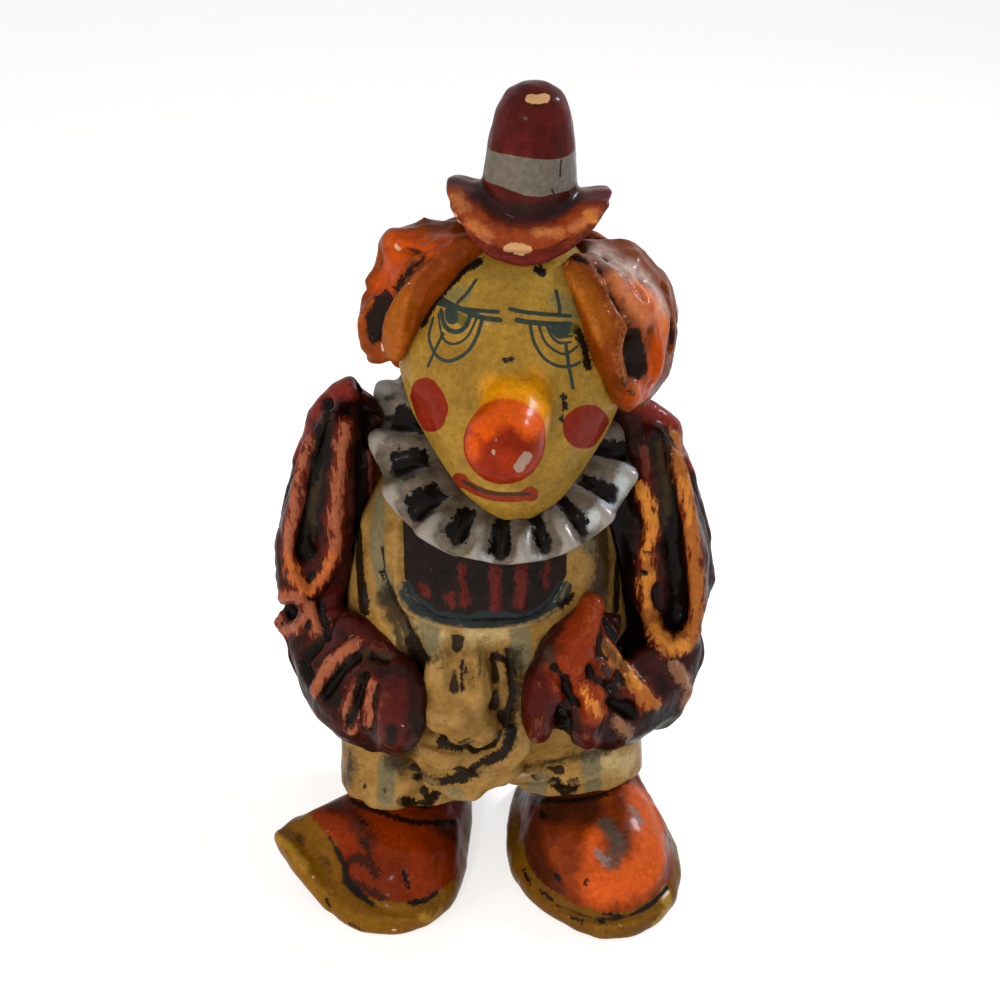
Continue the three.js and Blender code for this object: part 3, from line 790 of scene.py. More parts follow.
        # A brush leaves ridges under 1 mm apart, too fine to show here, so they are drawn at 2.4 mm
        ridge_size = 2.4
        deepest = 0.6
        chip_share = 0.7
        drawn = add(tree, "ShaderNodeMapping", {"Scale": (1.0, 1.0, self.brushed)}, {"Vector": place})
        shape = {"Scale": 1 / (ridge_size * MM), "Detail": 6.0, "Roughness": 0.6}
        ridges = add(tree, "ShaderNodeTexNoise", shape, {"Vector": drawn.outputs[0]}).outputs[0]
        sunk = {"operation": "MULTIPLY_ADD", 1: -chip_share}
        height = add(tree, "ShaderNodeMath", sunk, {0: wear, 2: ridges}).outputs[0]
        relief = {"Strength": self.bump, "Distance": deepest * MM}
        return add(tree, "ShaderNodeBump", relief, {"Height": height}).outputs[0]

    def varnish(self, tree: Tree, place: Socket, wear: Socket) -> Socket:
        """Gives the roughness: of uneven varnish, and of dull bare plaster.

        Args:
            tree: takes the nodes.
            place: the coordinates.
            wear: where the paint is off.

        Returns:
            The roughness.
        """
        # Brushed varnish pools in smooth patches of about 9 mm and is thin and duller between them
        pool_size = 9.0
        pool_low = 0.3
        pool_high = 0.7
        smoother = 0.08
        duller = 0.14
        shape = {"Scale": 1 / (pool_size * MM), "Detail": 3.0}
        pools = add(tree, "ShaderNodeTexNoise", shape, {"Vector": place}).outputs[0]
        span = {
            "From Min": pool_low,
            "From Max": pool_high,
            "To Min": self.roughness - smoother,
            "To Max": self.roughness + duller,
        }
        uneven = add(tree, "ShaderNodeMapRange", span, {"Value": pools})
        bare = {"data_type": "FLOAT", 3: self.bare_roughness}
        return add(tree, "ShaderNodeMix", bare, {0: wear, 2: uneven.outputs[0]}).outputs[0]


@dataclass(kw_only=True)
class Casting:
    """One piece of plaster, remade from its CAD nodes with the marks of the tool and the brush.

    Lengths are in millimetres. The solids are grown by fuse, so that their glue lines close, and of that
    growth full is left at the end. Coarse and grid are the quads of the first and of the second skin.
    Rounding, melt, passes and settle say how often a skin is smoothed.
    """

    name: str
    nodes: tuple[str, ...]
    slot: str
    coat: Coat
    coarse: float = 1.8
    grid: float = 0.9
    fuse: float = 0.4
    full: float = 0.4
    rounding: int = 25
    melt: int = 2
    passes: int = 12
    settle: int = 2
    lumps: float = 0.35
    lump_size: float = 16.0
    carving: Marks = ()
    paint: Paint = field(default_factory=dict)
    zones: dict[str, tuple[str, ...]] = field(default_factory=dict)
    regions: dict[str, Line] = field(default_factory=dict)

    def merged(self, frame: Frame) -> bpy.types.Object:
        """Joins copies of the CAD nodes, each grown a little so that their glue lines close.

        Args:
            frame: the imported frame.

        Returns:
            An object with all of them in one mesh.
        """
        whole = bmesh.new()
        for node in self.nodes:
            part = bmesh.new()
            part.from_mesh(frame["nodes"][node].data)
            bmesh.ops.remove_doubles(part, verts=part.verts, dist=MM / 1000)
            part.normal_update()
            moves = [v.normal * self.fuse * MM for v in part.verts]
            for v, move in zip(part.verts, moves):
                v.co += move
            start = len(whole.verts)
            for v in part.verts:
                whole.verts.new(v.co)
            whole.verts.ensure_lookup_table()
            for face in part.faces:
                whole.faces.new([whole.verts[start + v.index] for v in face.verts])
            part.free()
        mesh = bpy.data.meshes.new(self.name)
        whole.to_mesh(mesh)
        whole.free()
        made = bpy.data.objects.new(self.name, mesh)
        bpy.context.collection.objects.link(made)
        return made

    def shape(self, frame: Frame) -> bpy.types.Object:
        """Makes the piece's skin: a closed mesh of small even quads.

        The first, coarse skin is smoothed until no flat of the CAD solid shows. The second takes the marks.

        Args:
            frame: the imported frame.

        Returns:
            The piece.
        """
        piece = skinned(self.merged(frame), self.coarse)
        rough = Skin(piece.data)
        rough.calm(self.rounding, keep=True)
        rough.places -= rough.normals() * (self.fuse - self.full)
        rough.calm(self.melt, keep=False)
        rough.write()
        return skinned(piece, self.grid)

    def build(self, frame: Frame, around: Neighbours) -> bpy.types.Object:
        """Makes, carves and paints the piece.

        Args:
            frame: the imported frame.
            around: finds how near the other pieces are.

        Returns:
            The finished piece.
        """
        finer = 3.0
        piece = self.shape(frame)
        skin = Skin(piece.data)
        skin.calm(self.passes, keep=True)
        skin.write()
        tree = BVHTree.FromObject(piece, bpy.context.evaluated_depsgraph_get())
        skin.carve(self.carving, tree)
        skin.calm(self.settle, keep=False)
        skin.swell(self.lumps, self.lump_size, SEED)
        skin.swell(self.lumps / finer, self.lump_size / finer, SEED + 1)
        self.finish_shape(skin)
        skin.write()
        self.wear(skin, around)
        self.brush(skin, piece, around)
        piece.data.polygons.foreach_set("use_smooth", [True] * len(piece.data.polygons))
        piece.data.materials.clear()
        piece.data.materials.append(self.coat.material())
        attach(piece, "figure")
        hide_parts(*self.nodes)
        log.info("%s: %d faces", self.name, len(piece.data.polygons))
        return piece

    def finish_shape(self, skin: Skin) -> None:
        """Does the shaping that only one kind of piece has."""

    def wear(self, skin: Skin, around: Neighbours) -> None:
        """Writes how far each place is a ridge, which a dry brush meets, or a hollow, which keeps the wash.

        Fine relief is that of tool marks, and broad relief that of folds. Each is measured against the height
        that counts as 1. The seams towards other pieces count as hollows.

        Args:
            skin: the piece's surface.
            around: finds how near the other pieces are.
        """
        fine_passes = 10
        fine_height = 0.12
        broad_passes = 80
        broad_height = 0.9
        seam_width = 1.6 * self.coat.seam
        most_proud = 1.5
        most_hollow = 2.0
        soften = 2
        fine = skin.relief(fine_passes)
        broad = skin.relief(broad_passes)
        seam = np.clip(1 - around.distance(skin.places, self.nodes) / seam_width, 0, 1)
        proud = 0.6 * fine / fine_height + 0.6 * broad / broad_height
        hollow = 1.3 * seam - 0.5 * fine / fine_height - 0.7 * broad / broad_height
        skin.store("proud", skin.blur(np.clip(proud, -most_proud, most_proud), soften))
        skin.store("hollow", skin.blur(np.clip(hollow, -most_proud, most_hollow), soften))

    def brush(self, skin: Skin, piece: bpy.types.Object, around: Neighbours) -> None:
        """Writes where the paint lies: millimetres from the edge of each painted place, negative inside.

        Args:
            skin: the piece's surface.
            piece: the piece.
            around: finds how near the other pieces are.
        """
        past_edge = 8.0
        tree = BVHTree.FromObject(piece, bpy.context.evaluated_depsgraph_get())
        wanted = {"chips": (), **{layer.where: () for layer in self.coat.layers}, **self.paint}
        for name, drawn in wanted.items():
            value = np.full(len(skin.places), FAR)
            for mark in drawn:
                far = skin.distance(skin.line(mark, tree), mark.radius + past_edge, mark.hold)
                value = np.minimum(value, far - mark.radius)
            skin.store(name, value)
        for name, own in self.zones.items():
            rest = tuple(node for node in self.nodes if node not in own)
            skin.store(name, around.reach(skin.places, own) - around.reach(skin.places, rest))
        for name, outline in self.regions.items():
            inside = within(LENS.seen(skin.places), outline)
            old = skin.read(name)
            skin.store(name, inside if old is None else np.minimum(inside, old))
        for name, value in self.masks(skin).items():
            skin.store(name, value)

    def masks(self, skin: Skin) -> dict[str, np.ndarray]:
        """Gives the painted places that follow a rule, by attribute, in millimetres and negative inside."""
        return {}


class Neighbours:
    """Finds how near the CAD pieces around a piece are."""

    def __init__(self, frame: Frame) -> None:
        """Keeps each node's triangles.

        Args:
            frame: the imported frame.
        """
        self.parts: dict[str, tuple[np.ndarray, np.ndarray]] = {}
        for name, node in frame["nodes"].items():
            mesh = node.data
            flat = np.empty(len(mesh.vertices) * 3)
            mesh.vertices.foreach_get("co", flat)
            mesh.calc_loop_triangles()
            corners = np.empty(len(mesh.loop_triangles) * 3, dtype=np.int64)
            mesh.loop_triangles.foreach_get("vertices", corners)
            self.parts[name] = (flat.reshape(-1, 3), corners.reshape(-1, 3))

    def distance(self, places: np.ndarray, own: tuple[str, ...]) -> np.ndarray:
        """Gives how far each place is from the nearest piece that isn't one of its own, or else 12."""
        others = tuple(name for name in self.parts if name not in own and name != "stopper")
        return self.reach(places, others)

    def reach(self, places: np.ndarray, nodes: tuple[str, ...]) -> np.ndarray:
        """Gives how far each place is from the nearest of some nodes.

        Args:
            places: in millimetres.
            nodes: the nodes.

        Returns:
            Millimetres, no more than 12.
        """
        reach = 12.0
        verts: list[np.ndarray] = []
        faces: list[np.ndarray] = []
        start = 0
        for name in nodes:
            own, corners = self.parts[name]
            verts.append(own)
            faces.append(corners + start)
            start += len(own)
        tree = BVHTree.FromPolygons(np.concatenate(verts).tolist(), np.concatenate(faces).tolist())
        found = np.full(len(places), reach)
        for k, p in enumerate((places * MM).tolist()):
            hit = tree.find_nearest(p, reach * MM)
            if hit[0] is not None:
                found[k] = hit[3] / MM
        return found


def skinned(piece: bpy.types.Object, size: float) -> bpy.types.Object:
    """Gives a piece a new skin of even quads.

    Args:
        piece: the object.
        size: of a quad, in millimetres.

    Returns:
        The same object.
    """
    remesh = piece.modifiers.new("skin", "REMESH")
    remesh.mode = "VOXEL"
    remesh.voxel_size = size * MM
    return baked(piece)


def baked(piece: bpy.types.Object) -> bpy.types.Object:
    """Turns an object with modifiers into a plain mesh.

    Args:
        piece: the object.

    Returns:
        The same object with its evaluated mesh and no modifiers.
    """
    graph = bpy.context.evaluated_depsgraph_get()
    mesh = bpy.data.meshes.new_from_object(piece.evaluated_get(graph))
    mesh.name = piece.name
    piece.modifiers.clear()
    old = piece.data
    piece.data = mesh
    bpy.data.meshes.remove(old)
    return piece


# Head: strokes of a fine round brush on a cream ground

BROWS = (((441, 298), (458, 307), (474, 310), (498, 312)), ((510, 309), (524, 312), (544, 314), (570, 316)))
LIDS = (((438, 303), (458, 308), (480, 317), (500, 320)), ((517, 320), (528, 322), (552, 324), (570, 324)))
CROSS_LINES = (
    ((476, 280), (467, 293), (458, 302)),
    ((443, 334), (436, 348), (428, 366)),
    ((556, 291), (559, 304), (560, 316)),
    ((566, 346), (569, 366), (573, 388)),
)
LEFT_ARCS = (
    ((441, 310), (445, 326), (456, 332), (466, 326), (470, 316)),
    ((438, 314), (443, 338), (454, 344), (467, 337), (476, 320)),
    ((433, 318), (429, 338), (437, 356), (450, 361), (467, 352), (477, 336), (482, 320)),
)
RIGHT_ARCS = (
    ((530, 325), (534, 342), (544, 358), (558, 366), (572, 366), (580, 362)),
    ((539, 326), (544, 340), (554, 350), (566, 354), (578, 346)),
    ((547, 327), (552, 337), (560, 343), (571, 342)),
    ((550, 328), (558, 337), (572, 336)),
)
RING_LINES = (((455, 410), (459, 385), (472, 368), (490, 359)), ((540, 362), (556, 374), (564, 392)))
HEAD_PAINT: Paint = {
    "bridge": (*spots(7.6, ((499, 402), (531, 402))), *spots(6.0, ((501, 394), (531, 392)))),
    "tint": spots(3.4, ((450, 296), (462, 294)), ((558, 300), (570, 312))),
    "iris": spots(2.0, ((460, 318), (463, 321)), ((571, 328), (575, 329))),
    "lines": (
        *strokes(0.75, *BROWS),
        *strokes(0.95, *LIDS),
        *strokes(0.7, *CROSS_LINES),
        *strokes(0.9, LEFT_ARCS[0]),
        *strokes(0.5, LEFT_ARCS[1]),
        *strokes(0.7, LEFT_ARCS[2]),
        *strokes(0.6, RIGHT_ARCS[0]),
        *strokes(0.5, *RIGHT_ARCS[1:]),
        *spots(2.3, ((451, 312), (452, 318))),
        *spots(2.2, ((558, 329), (564, 330))),
    ),
    "cheeks": (
        *spots(5.2, ((425, 392), (431, 418))),
        *spots(6.6, ((427, 401), (430, 409))),
        *spots(7.7, ((584, 428), (589, 426))),
    ),
    "red": spots(15.6, ((505, 444), (505, 445))),
    "shade": spots(4.4, ((484, 456), (490, 468), (500, 476)), ((500, 442), (516, 440), (530, 448))),
    "glow": (
        *spots(4.8, ((484, 424), (498, 414), (514, 412), (530, 424))),
        *spots(2.0, ((473, 438), (474, 452))),
    ),
    "mouth": (
        *spots(2.8, ((459, 480), (461, 481)), ((530, 494), (531, 494))),
        *spots(1.9, ((460, 480), (476, 490), (494, 496), (516, 497), (530, 494))),
    ),
    "mouth_line": spots(0.7, ((463, 481), (480, 490), (500, 494), (529, 494))),
    "smudge": (
        *strokes(1.7, ((578, 332), (584, 346), (588, 366)), ((419, 304), (414, 318), (411, 332))),
        *strokes(2.2, ((478, 262), (462, 272), (446, 288), (434, 302), (424, 322)), ((539, 270), (541, 272))),
        *strokes(1.4, ((574, 262), (578, 276), (584, 300))),
        *strokes(1.1, ((506, 360), (511, 359)), ((563, 396), (565, 407))),
        *strokes(0.6, ((561, 417), (562, 422))),
    ),
    "chips": (*spots(1.9, ((519, 467), (522, 462), (527, 457))), *spots(0.5, ((493, 451), (494, 454)))),
}


@dataclass(kw_only=True)
class Head(Casting):
    """The doll's face: a cream skull with a red ball nose on its yellow bridge."""

    name: str = "head"
    nodes: tuple[str, ...] = ("head_shell", "nose")
    slot: str = "face_paint"
    grid: float = 0.68
    passes: int = 10
    lumps: float = 0.22
    carving: Marks = (
        *marks(3.0, -0.25, *RING_LINES),
        *marks(6.0, -0.6, ((452, 330), (456, 340)), ((556, 338), (562, 346))),
        *marks(1.0, -0.5, ((563, 397), (565, 407)), ((506, 360), (511, 359))),
        *marks(2.4, -0.35, ((520, 466), (525, 458))),
    )
    paint: Paint = field(default_factory=lambda: HEAD_PAINT)
    # Cream enamel brushed thin on plaster and rubbed with brown: a warm, flecked, satin skin with fine lines
    coat: Coat = Coat(
        name="cream_enamel_on_plaster",
        base="#a07e30",
        second="#856524",
        blotch=26.0,
        layers=(
            Layer("bridge", "#f09c02", 4.4, 1.6, 8.0),
            Layer("tint", "#5f6a50", 1.8, 0.8, 4.0, 0.5),
            Layer("iris", "#5e5120", 0.7, 0.3, 2.0),
            Layer("lines", "#2c3833", 0.12, 0.1, 1.5),
            Layer("cheeks", "#781d09", 0.15, 0.12, 5.0),
            Layer("red", "#942a05", 0.9, 0.6, 5.0),
            Layer("shade", "#761e03", 3.0, 1.8, 6.0, 0.75),
            Layer("glow", "#dd5807", 2.6, 1.6, 5.0, 0.85),
            Layer("mouth", "#7c2a13", 0.15, 0.1, 3.0),
            Layer("mouth_line", "#3c2a20", 0.2, 0.1, 2.0),
            Layer("smudge", "#171210", 0.4, 1.5, 1.4),
        ),
        wash="#2a1c0e",
        wash_from=0.8,
        wash_over=0.6,
        seam=1.3,
        speckle="#2e2010",
        speckle_share=0.075,
        chip="#a28478",
        roughness=0.3,
        bump=0.3,
    )


# Hair: broad locks, orange over brown, with black left in the cuts

LEFT_CURL = ((429, 256), (412, 267), (396, 286), (382, 310), (375, 336))
RIGHT_RIDGE = ((606, 306), (617, 324), (621, 334), (614, 354), (622, 376), (636, 396))
RIGHT_CREASE = ((600, 266), (611, 286), (620, 308))


@dataclass(kw_only=True)
class Hair(Casting):
    """Thick locks that hang from under the hat, with grooves cut between them."""

    slot: str = "hair_paint"
    grid: float = 0.75
    fuse: float = 3.2
    rounding: int = 30
    passes: int = 7
    melt: int = 6
    full: float = 1.0
    lumps: float = 0.6
    lump_size: float = 9.0


def hair_coat(name: str, base: str, second: str, ridge: str) -> Coat:
    """Gives the paint of one bunch of hair.

    It is orange enamel brushed along the locks over a brown one. It gives the eye a burnt orange that turns
    yellow and bright on the swells and black in the cuts, with a highlight and a reflection of the window
    painted on the right bunch in pale colours.

    Args:
        name: of the material.
        base: the main colour.
        second: the darker one.
        ridge: the worn one.

    Returns:
        The coat.
    """
    return Coat(
        name=name,
        base=base,
        second=second,
        blotch=13.0,
        layers=(
            Layer("yellow", "#95520a", 3.5, 2.0, 6.0, 0.8, 0.5),
            Layer("bright", "#b44503", 3.5, 2.0, 6.0, 0.9, 0.5),
            # A painted highlight and a painted reflection of the window, pale, on the right bunch
            Layer("painted_highlight", "#dc8450", 3.8, 1.6, 3.0, 0.6, 0.5),
            Layer("painted_window_reflection", "#e0c9bb", 4.4, 1.4, 3.0, 0.6, 0.5),
            Layer("cut", "#120a06", 0.5, 1.8, 1.8, 0.97, 0.6),
        ),
        ridge=ridge,
        ridge_from=1.3,
        ridge_over=0.9,
        ridge_streak=0.8,
        wash_from=1.5,
        wash_over=0.5,
        seam=1.3,
        chip_share=0.0001,
        roughness=0.3,
        bump=0.35,
    )


LEFT_HAIR_CARVING = (
    *marks(3.4, -3.2, LEFT_CURL),
    *marks(5.0, -4.6, ((383, 300), (375, 318), (373, 334))),
    *marks(3.2, 1.8, ((372, 300), (362, 322), (364, 344), (374, 356))),
    *marks(9.0, 3.0, ((396, 240), (404, 244))),
    *marks(10.0, -4.6, ((372, 262), (372, 282))),
    *marks(12.0, -3.4, ((416, 214), (432, 212))),
    *marks(7.0, 2.4, ((391, 236), (400, 240))),
    *marks(6.0, 1.8, ((430, 262), (412, 292), (402, 330), (396, 356))),
    *marks(2.6, -1.3, ((446, 240), (424, 250), (404, 250)), ((440, 262), (420, 290), (408, 326))),
    *runs(3.0, -2.6, ((-50, -4, 272), (-50, 6, 252), (-47, 8, 228))),
    *runs(3.0, -2.6, ((-40, 22, 270), (-38, 28, 236))),
)
LEFT_HAIR_PAINT: Paint = {
    "yellow": strokes(4.6, ((402, 296), (394, 330), (390, 350))),
    "bright": strokes(6.5, ((398, 238), (420, 244), (440, 238)), ((396, 262), (384, 284))),
    "cut": (
        *strokes(1.1, ((424, 259), (408, 271), (396, 288))),
        *strokes(3.4, ((386, 298), (376, 316), (375, 334))),
    ),
    "chips": (*strokes(0.7, ((396, 246), (399, 249))), *strokes(0.6, ((382, 345), (383, 350)))),
}
RIGHT_HAIR_CARVING = (
    *marks(6.6, -7.5, ((632, 338), (634, 352), (637, 368))),
    *marks(3.6, -2.4, RIGHT_CREASE),
    *marks(4.0, 2.2, RIGHT_RIDGE),
    *marks(5.0, 1.6, ((566, 268), (584, 300), (604, 338), (626, 384))),
    *marks(2.8, -1.5, ((604, 256), (628, 274), (644, 296)), ((650, 330), (654, 356), (650, 384))),
    *marks(8.0, 2.0, ((654, 300), (662, 330), (656, 370))),
    *marks(2.6, -2.2, ((671, 322), (672, 334), (671, 348))),
    *runs(3.0, -2.6, ((68, 4, 262), (72, 10, 240), (66, 12, 222)), ((56, 26, 262), (54, 30, 232))),
)
RIGHT_HAIR_PAINT: Paint = {
    "yellow": strokes(4.2, ((572, 278), (588, 304), (600, 332))),
    "bright": strokes(5.5, ((640, 290), (656, 306), (662, 340), (656, 376), (640, 396))),
    # A painted highlight where the right bunch faces the window
    "painted_highlight": strokes(3.4, ((640, 284), (654, 300), (664, 324)), ((612, 276), (628, 296), (646, 318))),
    # The window's reflection on the top of the right bunch, painted near white
    "painted_window_reflection": (
        *strokes(4.6, ((600, 252), (612, 262), (630, 268))),
        *strokes(2.0, ((640, 274), (654, 288), (664, 306))),
    ),
    "cut": (
        *strokes(4.0, ((632, 338), (635, 352), (637, 368))),
        *strokes(1.4, ((671, 326), (672, 342))),
        *strokes(1.8, ((574, 256), (586, 262))),
        *strokes(0.8, ((622, 380), (632, 394))),
    ),
}


def hair() -> list[Hair]:
    """Gives the bunches of hair.

    Returns:
        The left, the right and the back one.
    """
    left = Hair(
        name="hair_left_locks",
        nodes=("hair_left",),
        coat=hair_coat("orange_hair_paint_left", "#853906", "#6d3006", "#b4622a"),
        carving=LEFT_HAIR_CARVING,
        paint=LEFT_HAIR_PAINT,
    )
    right = Hair(
        name="hair_right_locks",
        nodes=("hair_right",),
        coat=hair_coat("orange_hair_paint_right", "#773204", "#602903", "#c07434"),
        carving=RIGHT_HAIR_CARVING,
        paint=RIGHT_HAIR_PAINT,
    )
    back = Hair(
        name="hair_back_locks",
        nodes=("hair_back",),
        coat=hair_coat("orange_hair_paint_back", "#853906", "#6d3006", "#b4622a"),
        grid=1.0,
    )
    return [left, right, back]


# Hat

BRIM_EDGE = ((446, 212), (462, 236), (487, 252), (514, 258), (550, 256), (584, 236), (607, 204))
BRIM_GROOVE = ((462, 226), (486, 243), (515, 250), (550, 247), (582, 228))
HAT_PAINT: Paint = {
    "glow": (
        *strokes(4.6, ((470, 212), (488, 230), (518, 238), (552, 236), (588, 212))),
        *strokes(3.2, ((455, 190), (461, 204), (472, 220))),
    ),
    # Painted highlights on the brim
    "glint": (
        *strokes(1.8, ((470, 222), (488, 234)), ((538, 232), (560, 232))),
        *strokes(2.4, ((576, 228), (592, 214)), ((456, 196), (463, 208))),
    ),
    "dark": strokes(3.4, ((480, 192), (496, 206), (525, 212), (556, 208), (575, 194))),
    "chips": (
        *strokes(1.7, ((508, 249), (516, 247), (527, 250))),
        *strokes(0.9, ((516, 253), (522, 254)), ((458, 222), (461, 225))),
        *strokes(0.6, ((454, 214), (456, 216))),
        *strokes(2.0, ((531, 98), (538, 99), (545, 97))),
    ),
    # A painted highlight at the right tip of the brim
    "painted_brim_highlight": strokes(2.0, ((588, 214), (593, 219))),
    "nick": strokes(0.5, ((561, 160), (560, 176)), ((552, 190), (554, 195))),
}


@dataclass(kw_only=True)
class Hat(Casting):
    """A small cocked hat of dark red with a silver band and an orange glow on its brim."""

    name: str = "hat"
    nodes: tuple[str, ...] = ("hat_brim", "hat_crown")
    slot: str = "hat_paint"
    grid: float = 0.65
    coarse: float = 1.2
    rounding: int = 18
    passes: int = 8
    fuse: float = 0.9
    lumps: float = 0.5
    lump_size: float = 13.0
    middle: tuple[float, float, float] = (14.1, 15.9, 303.6)
    axis: tuple[float, float, float] = (0.043, 0.0053, 0.9991)
    band: tuple[float, float] = (-7.4, 4.9)
    band_waver: tuple[float, float, float] = (0.9, 0.4, 0.6)
    crown: float = 19.5
    carving: Marks = (
        *marks(3.0, 0.9, BRIM_EDGE),
        *marks(2.0, -0.8, BRIM_GROOVE),
    )
    paint: Paint = field(default_factory=lambda: HAT_PAINT)
    # Dark red enamel with orange rubbed over the brim: deep red, glowing where the brim turns up, with
    # highlights painted on the brim
    coat: Coat = Coat(
        name="dark_red_hat_enamel",
        base="#591511",
        second="#3f0f0c",
        blotch=12.0,
        layers=(
            Layer("glow", "#9a4219", 3.4, 2.0, 5.0, 0.88),
            # The glints are painted highlights
            Layer("glint", "#cc7c46", 1.8, 2.0, 2.2, 0.7),
            Layer("dark", "#21120e", 1.8, 1.5, 2.0, 0.9),
            Layer("band", "#69625a", 0.12, 0.2, 6.0),
            Layer("nick", "#2a1c16", 0.2, 0.4, 1.5),
            # A painted highlight, orange, at the brim's right tip
            Layer("painted_brim_highlight", "#cc7a34", 0.4, 0.9, 1.2),
        ),
        ridge="#7d2c22",
        ridge_from=1.3,
        ridge_over=0.8,
        wash_from=0.85,
        wash_over=0.6,
        seam=0.8,
        chip="#c99a6c",
        roughness=0.28,
        bump=0.25,
    )

    def masks(self, skin: Skin) -> dict[str, np.ndarray]:
        """Gives the silver band round the crown, with edges that waver.

        Args:
            skin: the piece's surface.

        Returns:
            The band's values.
        """
        off = skin.places - np.array(self.middle)
        axis = np.array(self.axis)
        along = off @ axis
        out = np.linalg.norm(off - along[:, None] * axis, axis=1)
        turn = np.arctan2(off[:, 1], off[:, 0])
        # Two and five waves a turn along the lower edge and three along the upper one keep the band uneven
        slow, quick, upper = self.band_waver
        low = self.band[0] + slow * np.sin(2 * turn + 0.6) + quick * np.sin(5 * turn)
        high = self.band[1] + upper * np.sin(3 * turn + 1.0)
        band = np.maximum(low - along, along - high)
        return {"band": np.where(out < self.crown, band, FAR)}


# Ruff: how a sheet of points becomes the pleated ring. Each step has its name, what it does, and to which two

PLEAT_RULE: tuple[tuple[str, str, str | float, str | float], ...] = (
    ("turn share", "ADD", "across", 0.5),
    ("turn", "MULTIPLY", "turn share", 2 * math.pi),
    ("section share", "ADD", "along", 0.5),
    ("section", "MULTIPLY", "section share", 2 * math.pi),
    ("lagged", "ADD", "turn", "Crowd Lag"),
    ("twice", "MULTIPLY", "lagged", 2.0),
    ("sway", "SINE", "twice", 0.0),
    ("swayed", "MULTIPLY", "sway", "Crowding"),
    ("crowded", "ADD", "turn", "swayed"),
    ("pleat turn", "MULTIPLY", "crowded", "Pleats"),
    ("pleat", "COSINE", "pleat turn", 0.0),
    ("wave", "MULTIPLY", "pleat", -1.0),
    ("side", "COSINE", "section", 0.0),
    ("outward", "ADD", "side", 1.0),
    ("share", "MULTIPLY", "outward", 0.5),
    ("from shoulder", "SUBTRACT", "turn", "Shoulder Turn"),
    ("nearness", "COSINE", "from shoulder", 0.0),
    ("near", "MAXIMUM", "nearness", 0.0),
    ("nearest", "POWER", "near", 6.0),
    ("shoulder", "MULTIPLY", "nearest", "Shoulder Reach"),
    ("pushed", "MULTIPLY", "wave", "Pleat Push"),
    ("both pushes", "ADD", "pushed", "shoulder"),
    ("push", "MULTIPLY", "both pushes", "share"),
    ("from middle", "MULTIPLY", "side", "Half Width"),
    ("plain radius", "ADD", "from middle", "Middle Radius"),
    ("radius", "ADD", "plain radius", "push"),
    ("lift", "SINE", "section", 0.0),
    ("thick", "MULTIPLY", "lift", "Half Thickness"),
    ("swing", "MULTIPLY", "wave", "Pleat Depth"),
    ("swung", "MULTIPLY", "swing", "share"),
    ("place z", "ADD", "thick", "swung"),
    ("turn x", "COSINE", "turn", 0.0),
    ("turn y", "SINE", "turn", 0.0),
    ("place x", "MULTIPLY", "radius", "turn x"),
    ("place y", "MULTIPLY", "radius", "turn y"),
)
RUFF_PAINT: Paint = {
    "smear": (
        *strokes(3.0, ((385, 382), (389, 394)), ((396, 470), (406, 476), (412, 468))),
        *strokes(1.6, ((412, 512), (424, 520), (432, 514)), ((446, 556), (452, 560))),
    ),
    # Painted highlights: the window's glints on the silver, most of them on the right
    "shine": (
        *strokes(3.0, ((606, 506), (620, 488), (630, 466)), ((588, 522), (596, 516))),
        *strokes(1.6, ((524, 560), (540, 558)), ((478, 556), (490, 562)), ((376, 408), (378, 416))),
    ),
    "ochre": strokes(1.8, ((418, 526), (426, 532)), ((466, 556), (470, 562)), ((385, 484), (388, 490))),
}


